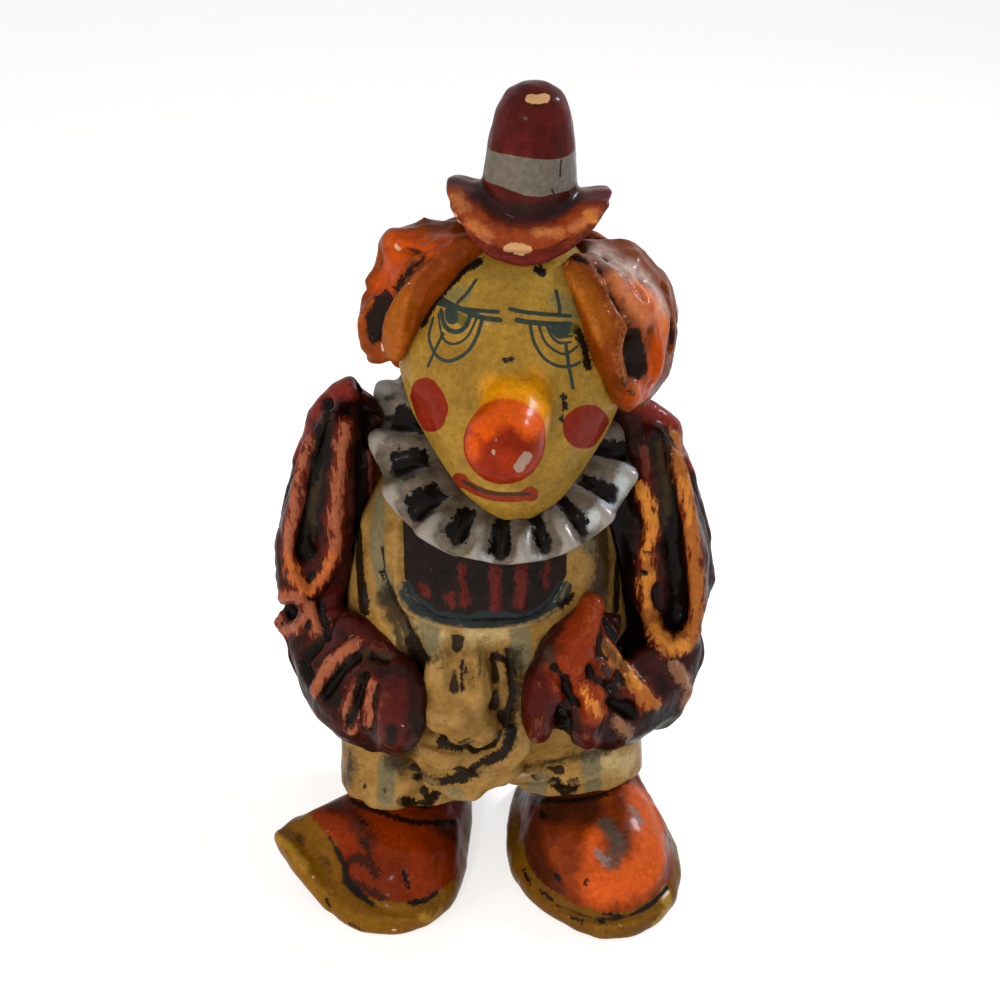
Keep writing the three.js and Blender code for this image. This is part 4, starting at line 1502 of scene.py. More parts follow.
@dataclass(kw_only=True)
class Ruff(Casting):
    """A pleated ring round the neck, silver on the swells and black in the valleys."""

    name: str = "ruff_pleats"
    nodes: tuple[str, ...] = ("ruff",)
    slot: str = "ruff_paint"
    passes: int = 0
    lumps: float = 0.5
    lump_size: float = 9.0
    centre: tuple[float, float, float] = (5.8, 8.678, 187.0)
    tilt: float = 28.0
    inner: float = 24.0
    outer: float = 51.4
    thickness: float = 10.0
    pleats: int = 15
    crowding: float = 4.9
    crowd_lag: float = 75.0
    depth: float = 3.5
    push: float = 1.7
    reach: float = 9.0
    reach_turn: float = 138.0
    # The black bars: half a bar's width for each millimetre of radius, what the left adds to it, and how far
    # its edges waver; then where it ends below the rim and begins outside the neck, and its lowest level
    bar_share: float = 0.09
    bar_left: float = 0.035
    bar_waver: float = 0.6
    bar_rim: float = 4.4
    bar_rim_waver: float = 1.8
    bar_neck: float = 8.6
    bar_neck_waver: float = 1.6
    bar_level: float = -1.0
    paint: Paint = field(default_factory=lambda: RUFF_PAINT)
    # Aluminium-powder paint brushed over plaster and washed black: a dull warm silver, with cold glints
    # painted on it, most of them on the right
    coat: Coat = Coat(
        name="silver_paint_on_plaster",
        base="#70675d",
        second="#554b41",
        blotch=9.0,
        layers=(
            # Painted highlights of the window
            Layer("shine", "#b6bfc2", 2.0, 2.2, 2.6, 0.85),
            Layer("ochre", "#8a6f35", 1.2, 1.5, 2.0, 0.6),
            Layer("smear", "#1a1612", 0.8, 2.2, 1.0, 0.8),
            Layer("bars", "#080605", 0.4, 1.7, 2.0, 0.99, 0.7),
        ),
        ridge="#918b83",
        ridge_from=0.6,
        ridge_over=0.8,
        ridge_streak=0.5,
        wash_from=1.15,
        wash_over=0.6,
        seam=0.8,
        roughness=0.32,
        metallic=0.2,
        bump=0.35,
    )

    def shape(self, frame: Frame) -> bpy.types.Object:
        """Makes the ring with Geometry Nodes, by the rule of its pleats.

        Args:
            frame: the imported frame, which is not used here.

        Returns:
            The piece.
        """
        tree = self.rule()
        mesh = bpy.data.meshes.new(self.name)
        piece = bpy.data.objects.new(self.name, mesh)
        bpy.context.collection.objects.link(piece)
        modifier = piece.modifiers.new("pleats", "NODES")
        modifier.node_group = tree
        values = self.inputs()
        for item in tree.interface.items_tree:
            if item.name in values:
                modifier[item.identifier] = values[item.name]
        baked(piece)
        tilted = Matrix.Rotation(math.radians(self.tilt), 4, "X")
        piece.data.transform(Matrix.Translation(Vector(self.centre) * MM) @ tilted)
        return piece

    def inputs(self) -> dict[str, float]:
        """Gives the sizes that the tree takes.

        Returns:
            The values by the name of their input, in metres and radians.
        """
        return {
            "Middle Radius": (self.inner + self.outer) / 2 * MM,
            "Half Width": (self.outer - self.inner) / 2 * MM,
            "Half Thickness": self.thickness / 2 * MM,
            "Pleats": float(self.pleats),
            "Crowding": math.radians(self.crowding),
            "Crowd Lag": math.radians(self.crowd_lag),
            "Pleat Depth": self.depth * MM,
            "Pleat Push": self.push * MM,
            "Shoulder Reach": self.reach * MM,
            "Shoulder Turn": math.radians(self.reach_turn),
        }

    def rule(self) -> Tree:
        """Builds the tree: a sheet of points bent into a ring whose section and level follow the pleats.

        Returns:
            The tree.
        """
        tree = bpy.data.node_groups.new("pleated_ring", "GeometryNodeTree")
        for name in self.inputs():
            tree.interface.new_socket(name, in_out="INPUT", socket_type="NodeSocketFloat")
        tree.interface.new_socket("Geometry", in_out="OUTPUT", socket_type="NodeSocketGeometry")
        given = add(tree, "NodeGroupInput").outputs
        around = 401
        across = 41
        weld = 0.01
        flat = {"Size X": 1.0, "Size Y": 1.0, "Vertices X": around, "Vertices Y": across}
        sheet = add(tree, "GeometryNodeMeshGrid", flat)
        spot = add(tree, "GeometryNodeInputPosition").outputs[0]
        apart = add(tree, "ShaderNodeSeparateXYZ", None, {0: spot}).outputs
        known = {name: given[name] for name in self.inputs()}
        known["across"] = apart[0]
        known["along"] = apart[1]
        for name, operation, first, second in PLEAT_RULE:
            both = {0: known.get(first, first), 1: known.get(second, second)}
            fixed = {k: v for k, v in both.items() if isinstance(v, float)}
            linked = {k: v for k, v in both.items() if k not in fixed}
            step = add(tree, "ShaderNodeMath", {"operation": operation, "label": name, **fixed}, linked)
            known[name] = step.outputs[0]
        parts = {k: known[f"place {axis}"] for k, axis in enumerate("xyz")}
        moved = {0: sheet.outputs[0], "Position": add(tree, "ShaderNodeCombineXYZ", None, parts).outputs[0]}
        ring = add(tree, "GeometryNodeSetPosition", None, moved)
        seam = add(tree, "GeometryNodeMergeByDistance", {"Distance": weld * MM}, {0: ring.outputs[0]})
        real = add(tree, "GeometryNodeRealizeInstances", None, {0: seam.outputs[0]})
        dressed = add(tree, "GeometryNodeSetMaterial", None, {0: real.outputs[0]})
        add(tree, "NodeGroupOutput", None, {0: dressed.outputs[0]})
        return tree

    def masks(self, skin: Skin) -> dict[str, np.ndarray]:
        """Gives the black bars in the valleys of the pleats.

        Args:
            skin: the piece's surface.

        Returns:
            The bars' values.
        """
        off = skin.places - np.array(self.centre)
        slope = math.radians(-self.tilt)
        flat = off[:, 1] * math.cos(slope) - off[:, 2] * math.sin(slope)
        level = off[:, 1] * math.sin(slope) + off[:, 2] * math.cos(slope)
        radius = np.hypot(off[:, 0], flat)
        turn = np.arctan2(flat, off[:, 0])
        pitch = 2 * math.pi / self.pleats
        crowded = turn + math.radians(self.crowding) * np.sin(2 * (turn + math.radians(self.crowd_lag)))
        valley = np.abs((crowded / pitch + 0.5) % 1 - 0.5) * pitch
        # Three and seven waves a turn, so that no two bars end alike
        uneven = 0.5 * np.sin(3 * turn + 1.0) + 0.4 * np.sin(7 * turn)
        left = np.maximum(0, -np.cos(turn))
        half = (self.bar_share + self.bar_left * left) * radius + self.bar_waver * uneven
        rim = self.outer - self.bar_rim + self.bar_rim_waver * uneven
        start = self.inner + self.bar_neck + self.bar_neck_waver * uneven
        bar = np.maximum(valley * radius - half, np.maximum(radius - rim, start - radius))
        under = np.maximum(bar, self.bar_level - level)
        return {"bars": np.minimum(under, FAR)}


# Trousers

SHIRT_EDGE = ((403, 588), (412, 606), (446, 619), (489, 622), (531, 617), (558, 604), (566, 588))
BIB_EDGE = ((396, 532), (396, 566), (402, 602), (428, 622), (470, 631), (520, 626), (560, 610))
BODY_STRIPES = (
    ((379, 500), (377, 548), (388, 596)),
    ((428, 618), (431, 652)),
    ((520, 624), (521, 662)),
    ((587, 520), (590, 545)),
)
LEG_STRIPES = (
    ((388, 764), (387, 803)),
    ((454, 796), (456, 815)),
    ((534, 774), (536, 798)),
    ((591, 757), (594, 790)),
)
SIDE_STRIPES = (
    ((-62, 30, 170), (-66, 34, 120), (-64, 34, 60)),
    ((-40, 60, 180), (-44, 64, 120), (-42, 62, 60)),
    ((-14, 68, 180), (-14, 72, 120), (-14, 68, 60)),
    ((12, 68, 180), (12, 72, 120), (12, 68, 60)),
    ((38, 58, 180), (42, 62, 120), (40, 60, 60)),
    ((60, 34, 170), (64, 36, 120), (62, 36, 60)),
    ((-62, 12, 60), (-64, 12, 30)),
    ((-48, 34, 60), (-50, 34, 30)),
    ((-18, 34, 60), (-18, 34, 30)),
    ((20, 34, 60), (20, 34, 36)),
    ((48, 34, 60), (50, 34, 36)),
    ((64, 12, 60), (66, 12, 36)),
)
TROUSER_PAINT: Paint = {
    "stripes": (*strokes(4.2, *BODY_STRIPES, *LEG_STRIPES), *runs(4.4, 0, *SIDE_STRIPES)),
    "band": strokes(2.6, SHIRT_EDGE),
    # Black marks in the creases, and near black painted shade in the gaps beside the arms
    "black_marks_and_shade": (
        *strokes(2.6, ((402, 800), (420, 806), (436, 794))),
        *strokes(2.4, ((554, 782), (566, 792), (574, 796))),
        *strokes(0.9, ((383, 572), (392, 592), (402, 610), (412, 632))),
        *strokes(1.5, ((508, 664), (512, 690), (507, 720))),
        *strokes(1.2, ((463, 663), (462, 688))),
        *strokes(1.8, ((494, 655), (506, 662), (512, 672))),
        *strokes(4.6, ((356, 450), (358, 500), (359, 560), (363, 604))),
        *strokes(4.2, ((614, 500), (618, 550), (616, 604))),
        *strokes(0.6, ((479, 656), (480, 676)), ((444, 652), (440, 668))),
        *strokes(2.0, ((410, 640), (418, 664))),
        *strokes(2.2, ((440, 742), (456, 746), (470, 742)), ((418, 776), (440, 782), (462, 776))),
        *strokes(2.6, ((512, 730), (506, 750), (484, 764), (462, 778))),
        *strokes(1.6, ((420, 650), (430, 660), (440, 656)), ((560, 606), (572, 596))),
    ),
    # The pale stroke on the right leg is a painted highlight
    "pale": (
        *strokes(5.0, ((604, 762), (628, 762))),
        *strokes(3.0, ((400, 640), (412, 628), (440, 636)), ((470, 636), (510, 632))),
    ),
    # Painted shade in dark brown, beside the arms, the cuffs and the fold block
    "painted_shade": (
        *strokes(5.8, ((390, 600), (408, 642), (412, 690), (406, 736), (398, 760))),
        *strokes(3.2, ((514, 652), (517, 690), (512, 736))),
        *strokes(6.0, ((600, 520), (604, 560), (598, 600))),
        *strokes(2.2, ((524, 768), (560, 760), (606, 750))),
        *strokes(3.0, ((352, 758), (346, 780))),
    ),
}


@dataclass(kw_only=True)
class Trousers(Casting):
    """The body and the trousers, with the folds that are heaped between the legs."""

    name: str = "trousers"
    nodes: tuple[str, ...] = (
        "body_front_half",
        "body_back_half",
        "trouser_fold_upper",
        "trouser_fold_middle",
        "trouser_fold_lower",
        "trouser_leg_left",
        "trouser_leg_right",
    )
    slot: str = "trouser_paint"
    grid: float = 1.05
    coarse: float = 1.5
    rounding: int = 14
    passes: int = 4
    fuse: float = 1.4
    lumps: float = 0.6
    lump_size: float = 18.0
    carving: Marks = (
        *marks(2.4, 1.0, BIB_EDGE),
        *marks(2.4, -1.8, ((380, 548), (384, 576), (396, 606), (412, 636), (424, 656))),
        *marks(7.0, 3.6, ((372, 800), (410, 808), (440, 810), (472, 804))),
        *marks(4.0, 1.4, ((352, 792), (380, 800))),
        *marks(4.0, 1.6, ((512, 792), (550, 798), (590, 795), (624, 778))),
        *marks(2.6, -1.8, ((508, 652), (514, 690), (508, 726))),
        *marks(2.2, 1.2, ((516, 676), (512, 716), (500, 750))),
        *marks(5.0, -1.4, ((415, 640), (420, 680), (416, 720))),
        *marks(4.8, 4.6, ((514, 777), (530, 775), (543, 775))),
        *marks(4.0, -1.2, ((362, 770), (366, 800)), ((425, 790), (430, 815)), ((560, 770), (565, 795))),
        *marks(2.2, -1.6, ((470, 668), (474, 690)), ((426, 742), (450, 750), (476, 744))),
    )
    paint: Paint = field(default_factory=lambda: TROUSER_PAINT)
    # Cream enamel washed black, with shade painted in dark brown and near black beside the arms, the cuffs
    # and the folds, and a painted highlight on the right leg: a dirty ivory with grey stripes lost in the
    # folds
    coat: Coat = Coat(
        name="cream_enamel_with_stripes",
        base="#9a7840",
        second="#7b5a2a",
        blotch=20.0,
        layers=(
            # The pale paint includes a painted highlight on the right leg
            Layer("pale", "#c0ac7c", 4.0, 2.0, 5.0, 0.68),
            Layer("stripes", "#6b654b", 1.0, 1.0, 5.0, 0.9, 0.6),
            # Painted shade, dark brown
            Layer("painted_shade", "#1e160c", 3.0, 3.4, 4.0, 0.88),
            Layer("band", "#232b2e", 0.4, 0.35, 4.0, 0.97),
            # Near black: marks in the creases, and painted shade beside the arms
            Layer("black_marks_and_shade", "#120d09", 0.5, 1.9, 1.8, 0.97, 0.7),
        ),
        ridge="#a98650",
        ridge_from=1.2,
        ridge_over=0.8,
        wash="#1a130c",
        wash_from=1.1,
        wash_over=0.45,
        seam=1.5,
        speckle="#3a2c18",
        speckle_share=0.05,
        roughness=0.34,
        bump=0.3,
    )


# Shirt

SHIRT_FOLDS = (
    ((430, 572), (436, 600)),
    ((462, 574), (464, 606)),
    ((496, 576), (496, 608)),
    ((526, 574), (522, 604)),
)
SHIRT_PAINT: Paint = {
    "band": strokes(3.0, SHIRT_EDGE),
    "stripes": (
        *strokes(1.7, ((462, 568), (464, 604))),
        *strokes(2.3, ((494, 572), (496, 608)), ((522, 570), (520, 606))),
        *strokes(1.2, ((546, 562), (545, 584))),
        *strokes(2.2, ((424, 588), (425, 592)), ((450, 598), (452, 602))),
    ),
}


@dataclass(kw_only=True)
class ShirtFront(Casting):
    """The shirt in the bib of the trousers, near black with dark red stripes and a blue-grey edge."""

    name: str = "shirt"
    nodes: tuple[str, ...] = ("shirt_front",)
    slot: str = "shirt_paint"
    grid: float = 0.65
    coarse: float = 1.2
    rounding: int = 12
    passes: int = 4
    lumps: float = 0.7
    lump_size: float = 10.0
    carving: Marks = marks(2.6, 0.9, *SHIRT_FOLDS)
    paint: Paint = field(default_factory=lambda: SHIRT_PAINT)
    # Black paint, dry-brushed with dark red along its folds: almost black, satin, with broken stripes
    coat: Coat = Coat(
        name="black_and_red_shirt_paint",
        base="#15100e",
        second="#201512",
        blotch=9.0,
        layers=(
            Layer("stripes", "#571c17", 0.7, 2.6, 2.2, 0.85, 0.6),
            Layer("band", "#232b2e", 0.5, 0.6, 4.0, 0.96),
        ),
        wash_from=0.8,
        roughness=0.3,
        bump=0.4,
    )


# Arms

LEFT_OUTER = ((309, 440), (300, 467), (293, 510), (289, 545), (292, 572), (304, 590))
LEFT_INNER = ((346, 426), (341, 460), (337, 500), (335, 524), (336, 545), (328, 570), (312, 590))
LEFT_HOLLOW = ((324, 430), (319, 465), (314, 495), (309, 525), (306, 552))
LEFT_LENGTH = ((364, 410), (362, 470), (360, 520), (358, 585))
LEFT_CUFF_RIM = ((269, 616), (277, 600), (294, 597), (307, 604), (305, 618), (292, 627), (277, 631))
LEFT_CUFF_RIDGES = (
    ((310, 606), (315, 620), (322, 638)),
    ((352, 645), (334, 658), (323, 672), (315, 690)),
    ((371, 684), (370, 704), (368, 722)),
    ((358, 682), (351, 704), (352, 730)),
)
LEFT_CUFF_CREASES = (
    ((330, 634), (313, 648), (304, 662), (308, 678)),
    ((356, 657), (339, 673), (325, 694)),
    ((364, 676), (357, 698), (350, 722)),
    ((372, 655), (386, 658)),
)
RIGHT_OUTER_RIDGE = ((673, 436), (678, 456), (686, 490), (692, 530), (696, 570), (697, 606), (693, 632))
RIGHT_INNER_RIDGE = ((642, 488), (648, 510), (651, 532), (647, 552), (648, 574), (646, 596), (650, 614))
RIGHT_BEND = ((650, 616), (658, 634), (672, 646), (690, 640))
RIGHT_HOLLOW = ((661, 440), (667, 480), (672, 530), (676, 580), (677, 618))
RIGHT_LENGTH = ((618, 490), (620, 540), (622, 590), (636, 640))
RIGHT_PLANE = ((606, 646), (624, 668), (640, 690), (654, 706))
RIGHT_CUFF_CREASES = (
    ((588, 668), (598, 680), (612, 688)),
    ((608, 700), (620, 706), (634, 714)),
    ((564, 708), (562, 724), (566, 740)),
    ((604, 622), (614, 640), (628, 652)),
)


@dataclass(kw_only=True)
class Arm(Casting):
    """A sleeve with a long hollow between worn ridges, and a puffed cuff with the hand tucked in."""

    slot: str = "sleeve_paint"
    grid: float = 0.8
    fuse: float = 3.0
    full: float = 1.0
    rounding: int = 34
    melt: int = 7
    passes: int = 4
    lumps: float = 0.7
    lump_size: float = 9.0


def arm_coat(name: str, worn: str, bright: str, cuff: str, cuff_far: str) -> Coat:
    """Gives the paint of one arm.

    It is maroon paint laid over black, with the ridges dry-brushed along the arm in a worn colour. It gives
    the eye streaky orange ridges in a crimson halo, beside hollows that are nearly black, and a painted
    shade, near black, down the edge that faces the body.

    Args:
        name: of the material.
        worn: the colour dry-brushed on the ridges.
        bright: the colour where the ridges meet.
        cuff: the main colour of the cuff.
        cuff_far: the colour of its low end.

    Returns:
        The coat.
    """
    return Coat(
        name=name,
        base="#3b130e",
        second="#160c09",
        blotch=11.0,
        layers=(
            # Painted shade, near black, down the side of the sleeve that faces the body
            Layer("length", "#070404", 3.0, 2.0, 4.0, 0.95, 0.4),
            Layer("crimson", "#7c261d", 3.4, 2.6, 5.0, 0.92),
            Layer("cuff", cuff, 3.0, 2.6, 5.0, 0.94),
            Layer("cuff_far", cuff_far, 3.0, 2.6, 5.0, 0.94),
            Layer("halo", "#5c1c0d", 1.4, 3.0, 2.6, 0.92, 0.35),
            Layer("ridges", worn, 1.0, 4.4, 2.4, 0.94, 0.22),
            Layer("bright", bright, 1.4, 4.4, 2.4, 0.88, 0.22),
            Layer("hollows", "#15100c", 1.1, 1.8, 2.2, 0.96, 0.4),
            Layer("olive", "#3c2c1a", 1.6, 2.2, 2.6, 0.75, 0.4),
            Layer("black", "#050302", 0.6, 1.4, 1.8, 0.97, 0.6),
            Layer("tan", "#8c6346", 1.4, 2.4, 2.4, 0.85),
            Layer("line", "#6c342c", 0.6, 1.0, 1.5, 0.75, 0.3),
        ),
        ridge=worn,
        ridge_from=1.45,
        ridge_over=0.8,
        ridge_streak=0.9,
        wash="#0c0705",
        wash_from=0.9,
        wash_over=0.5,
        seam=1.4,
        roughness=0.3,
        bump=0.9,
        brushed=0.3,
    )


LEFT_ARM_CARVING = (
    *marks(15.0, 2.6, ((318, 404), (330, 390))),
    *marks(10.0, -6.5, ((372, 382), (374, 398))),
    *marks(6.0, -3.0, ((372, 410), (370, 440))),
    *marks(4.8, 1.8, LEFT_OUTER, LEFT_INNER),
    *marks(7.0, -5.0, LEFT_HOLLOW),
    *marks(3.4, -2.4, ((329, 402), (325, 422))),
    *marks(4.0, -1.6, LEFT_LENGTH),
    *marks(2.8, 1.4, LEFT_CUFF_RIM),
    *marks(4.8, -3.6, ((287, 611), (292, 613))),
    *marks(4.2, 2.4, *LEFT_CUFF_RIDGES),
    *marks(3.6, -3.2, *LEFT_CUFF_CREASES),
    *marks(8.0, 2.0, ((388, 700), (390, 738))),
    *marks(9.0, 1.6, ((345, 618), (374, 632), (396, 652))),
    *runs(4.0, -2.4, ((-88, 10, 190), (-94, 14, 160), (-94, 12, 125))),
    *runs(4.0, -2.4, ((-70, 34, 190), (-74, 38, 150))),
    *runs(4.0, -2.2, ((-60, 22, 118), (-80, 24, 110)), ((-94, 4, 112), (-90, -14, 90))),
)
LEFT_ARM_PAINT: Paint = {
    # Painted shade down the side of the sleeve that faces the body
    "length": (*strokes(4.2, LEFT_LENGTH), *strokes(3.0, ((356, 398), (346, 410)))),
    "crimson": (
        *strokes(8.0, ((320, 400), (338, 384), (358, 374))),
        *strokes(3.4, ((306, 426), (299, 452))),
    ),
    "cuff": (*strokes(8.0, ((340, 606), (370, 622), (396, 650))), *strokes(5.0, ((325, 640), (345, 660)))),
    "cuff_far": strokes(8.0, ((386, 694), (388, 742))),
    "halo": (
        *strokes(3.6, LEFT_OUTER),
        *strokes(3.8, LEFT_INNER, LEFT_CUFF_RIM),
        *strokes(3.4, *LEFT_CUFF_RIDGES),
    ),
    "ridges": (
        *strokes(2.0, LEFT_OUTER),
        *strokes(2.4, LEFT_INNER),
        *strokes(2.2, LEFT_CUFF_RIM, *LEFT_CUFF_RIDGES[2:]),
        *strokes(3.0, *LEFT_CUFF_RIDGES[:2]),
    ),
    "bright": (
        *strokes(2.8, ((289, 560), (296, 580), (310, 590))),
        *strokes(1.6, ((333, 556), (326, 572), (318, 584))),
    ),
    "hollows": (
        *strokes(4.0, LEFT_HOLLOW),
        *strokes(2.4, ((328, 402), (325, 422)), *LEFT_CUFF_CREASES),
        *strokes(2.4, ((286, 609), (292, 612))),
        *strokes(2.6, ((392, 730), (390, 742))),
    ),
    "olive": (*strokes(2.0, ((318, 470), (312, 510), (308, 540))), *strokes(3.2, ((370, 656), (386, 658)))),
    "black": strokes(1.2, ((322, 440), (316, 478)), ((314, 650), (306, 664)), ((338, 676), (328, 690))),
    "line": strokes(0.8, ((367, 430), (370, 470), (371, 512))),
    "chips": strokes(0.45, ((402, 725), (403, 726))),
}
RIGHT_ARM_CARVING = (
    *marks(11.0, 3.0, ((656, 412), (672, 424))),
    *marks(5.6, 2.2, RIGHT_OUTER_RIDGE, RIGHT_BEND),
    *marks(4.6, 2.2, RIGHT_INNER_RIDGE),
    *marks(7.2, -5.4, RIGHT_HOLLOW),
    *marks(1.8, -2.0, ((644, 551), (647, 552)), ((643, 571), (646, 572))),
    *marks(8.0, -2.6, RIGHT_LENGTH),
    *marks(4.6, 1.8, RIGHT_PLANE),
    *marks(3.4, -3.0, *RIGHT_CUFF_CREASES),
    *marks(5.4, -4.0, ((616, 704), (630, 710))),
    *marks(4.2, -4.2, ((563, 716), (564, 738))),
    *marks(8.0, 4.0, ((594, 602), (586, 636), (578, 664))),
    *marks(6.0, 2.6, ((606, 628), (616, 642)), ((566, 664), (556, 684))),
    *marks(4.0, -3.4, ((556, 668), (566, 684), (574, 704))),
    *marks(5.0, 2.6, ((600, 668), (596, 690), (592, 716))),
    *marks(7.0, 2.8, ((540, 684), (536, 714), (541, 752))),
    *marks(6.0, 2.0, ((588, 690), (594, 716), (590, 744))),
    *marks(4.0, 1.8, ((620, 722), (624, 738)), ((676, 668), (688, 692))),
    *runs(4.0, -2.4, ((92, 10, 186), (97, 14, 155), (96, 12, 120)), ((74, 34, 186), (78, 38, 150))),
    *runs(4.0, -2.2, ((62, 22, 118), (84, 24, 108)), ((92, 4, 108), (88, -14, 86))),
)
RIGHT_ARM_PAINT: Paint = {
    # Painted shade down the side of the sleeve that faces the body
    "length": strokes(7.4, RIGHT_LENGTH),
    "crimson": strokes(6.6, ((650, 404), (668, 412), (686, 434), (690, 452))),
    "cuff": (
        *strokes(9.0, ((594, 596), (586, 630), (576, 664))),
        *strokes(7.0, ((556, 680), (584, 684), (600, 712))),
    ),
    "cuff_far": (*strokes(7.6, ((536, 690), (538, 756))), *strokes(5.0, ((588, 738), (592, 748)))),
    "halo": (
        *strokes(5.0, RIGHT_OUTER_RIDGE, RIGHT_BEND),
        *strokes(4.2, RIGHT_INNER_RIDGE),
        *strokes(5.6, RIGHT_PLANE),
    ),
    "ridges": (
        *strokes(3.3, RIGHT_OUTER_RIDGE),
        *strokes(4.4, RIGHT_BEND),
        *strokes(2.5, RIGHT_INNER_RIDGE),
        *strokes(3.6, RIGHT_PLANE),
    ),
    "bright": (
        *strokes(2.3, ((643, 490), (649, 512), (650, 536), (648, 552)), ((647, 580), (648, 604))),
        *strokes(2.6, ((654, 628), (668, 644), (684, 644))),
        *strokes(1.6, ((683, 480), (690, 520)), ((620, 660), (638, 684))),
        *strokes(1.2, ((583, 692), (594, 706), (600, 716))),
    ),
    "hollows": (
        *strokes(4.2, RIGHT_HOLLOW),
        *strokes(2.4, ((563, 714), (564, 740)), ((612, 702), (630, 710))),
        *strokes(1.8, *RIGHT_CUFF_CREASES),
        *strokes(3.6, ((650, 716), (672, 720))),
    ),
    "olive": (
        *strokes(2.2, ((660, 446), (666, 490), (668, 520))),
        *strokes(2.0, ((600, 640), (612, 654), (626, 668))),
        *strokes(2.2, ((548, 652), (556, 668))),
    ),
    "black": (
        *strokes(0.9, ((556, 666), (564, 680), (572, 700))),
        *strokes(1.0, ((644, 551), (647, 552)), ((643, 571), (646, 573))),
        *strokes(1.3, ((668, 664), (676, 678)), ((664, 712), (652, 726)), ((563, 716), (563, 738))),
        *strokes(2.0, ((672, 520), (676, 570))),
    ),
    "tan": (*strokes(3.4, ((676, 668), (690, 686), (686, 704))), *strokes(2.6, ((618, 722), (630, 734)))),
    "line": strokes(1.8, ((644, 450), (646, 474))),
}


def arms() -> list[Arm]:
    """Gives both arms.

    Returns:
        The left and the right one.
    """
    left = Arm(
        name="left_arm",
        nodes=("sleeve_left", "cuff_left"),
        coat=arm_coat("maroon_sleeve_paint_left", "#98573c", "#b4602a", "#43120d", "#4c1612"),
        carving=LEFT_ARM_CARVING,
        paint=LEFT_ARM_PAINT,
    )
    right = Arm(
        name="right_arm",
        nodes=("sleeve_right", "cuff_right"),
        coat=arm_coat("maroon_sleeve_paint_right", "#a05e28", "#cf8434", "#832d0c", "#440d07"),
        carving=RIGHT_ARM_CARVING,
        paint=RIGHT_ARM_PAINT,
    )
    return [left, right]


# Shoes: the part of the picture with the mustard sole. Its last corners go round below and beside the shoe

LEFT_SOLE_EDGE = (
    *((303, 808), (316, 822), (329, 836), (338, 850), (343, 866), (345, 882), (358, 893), (372, 903)),
    *((389, 913), (405, 915), (420, 911), (434, 902), (446, 888), (480, 880)),
    *((480, 960), (240, 960), (240, 790)),
)
RIGHT_SOLE_EDGE = (
    *((496, 796), (513, 806), (521, 830), (528, 862), (540, 886), (560, 904), (590, 917), (625, 919)),
    *((650, 909), (666, 893), (680, 874), (710, 870)),
    *((710, 970), (480, 970)),
)


@dataclass(kw_only=True)
class Shoe(Casting):
    """A big soft shoe whose orange upper runs into its mustard sole, worn and spotted."""

    grid: float = 0.9
    fuse: float = 3.4
    full: float = 1.4
    coarse: float = 2.0
    rounding: int = 40
    melt: int = 12
    passes: int = 6
    lumps: float = 0.7
    lump_size: float = 15.0

    def finish_shape(self, skin: Skin) -> None:
        """Sets the sole flat on the floor."""
        skin.places[:, 2] = np.maximum(skin.places[:, 2], 0)


def shoe_coat(name: str, base: str, second: str, bright: str, worn: str, sole: str) -> Coat:
    """Gives the paint of one shoe.

    It is orange enamel run into a mustard one, scuffed and spotted with wash. It gives the eye a soft glossy
    toe with a painted highlight, painted shade towards the leg, a worn patch of smeared paint and a sole that
    is a little duller.

    Args:
        name: of the material.
        base: the main colour.
        second: the darker one.
        bright: the colour of the highlight painted on the toe.
        worn: the colour of the worn patch.
        sole: the mustard colour of the sole.

    Returns:
        The coat.
    """
    return Coat(
        name=name,
        base=base,
        second=second,
        blotch=16.0,
        layers=(
            # A painted highlight on the toe, and painted shade towards the leg
            Layer("bright", bright, 4.5, 3.0, 7.0, 0.9),
            Layer("shade_towards_leg", "#2c140a", 3.4, 3.0, 4.0, 0.8),
            Layer("sole", sole, 0.8, 1.6, 5.0),
            Layer("pale", "#a8802c", 1.4, 2.0, 3.0, 0.7),
            Layer("smoke", "#4a4038", 1.6, 2.6, 2.4, 0.8),
            Layer("worn", worn, 0.5, 2.4, 1.6, 0.85, 0.5),
            Layer("spots", "#120b07", 0.35, 1.3, 1.3, 0.95),
        ),
        ridge="#946a1c",
        ridge_from=1.25,
        ridge_over=0.8,
        wash_from=0.8,
        seam=1.6,
        chip_share=0.0001,
        speckle_share=0.02,
        roughness=0.28,
        bump=0.4,
    )


LEFT_SHOE_CARVING = (
    *marks(3.0, -0.7, ((329, 836), (343, 862), (350, 884), (380, 908), (414, 912), (440, 896))),
    *marks(8.0, 1.2, ((425, 850), (420, 880))),
    *marks(2.0, -0.8, ((404, 872), (410, 884)), ((414, 900), (430, 902))),
    *marks(5.0, 1.0, ((276, 836), (290, 848), (306, 876), (326, 906))),
)
LEFT_SHOE_PAINT: Paint = {
    # A painted highlight on the toe
    "bright": (
        *strokes(8.0, ((330, 826), (370, 836), (420, 840))),
        *strokes(7.0, ((420, 860), (430, 880))),
    ),
    "pale": strokes(2.0, ((276, 838), (290, 846), (306, 866)), ((430, 924), (440, 912))),
    # Painted shade under the trouser hem
    "shade_towards_leg": strokes(4.0, ((330, 802), (352, 814), (368, 838)), ((440, 826), (456, 836))),
    "worn": (
        *strokes(2.0, ((346, 866), (356, 858), (368, 862), (376, 874))),
        *strokes(1.6, ((350, 880), (364, 888), (382, 898)), ((364, 842), (370, 856))),
    ),
    "spots": (
        *strokes(1.1, ((404, 872), (408, 886))),
        *strokes(1.2, ((410, 903), (424, 901), (436, 893))),
        *strokes(1.0, ((350, 886), (362, 896), (372, 904))),
        *strokes(0.8, ((350, 924), (362, 930)), ((326, 900), (330, 906)), ((362, 822), (368, 824))),
        *strokes(1.4, ((350, 800), (380, 812), (416, 822), (456, 822))),
    ),
    "chips": strokes(0.5, ((312, 876), (314, 878)), ((392, 930), (396, 930))),
}
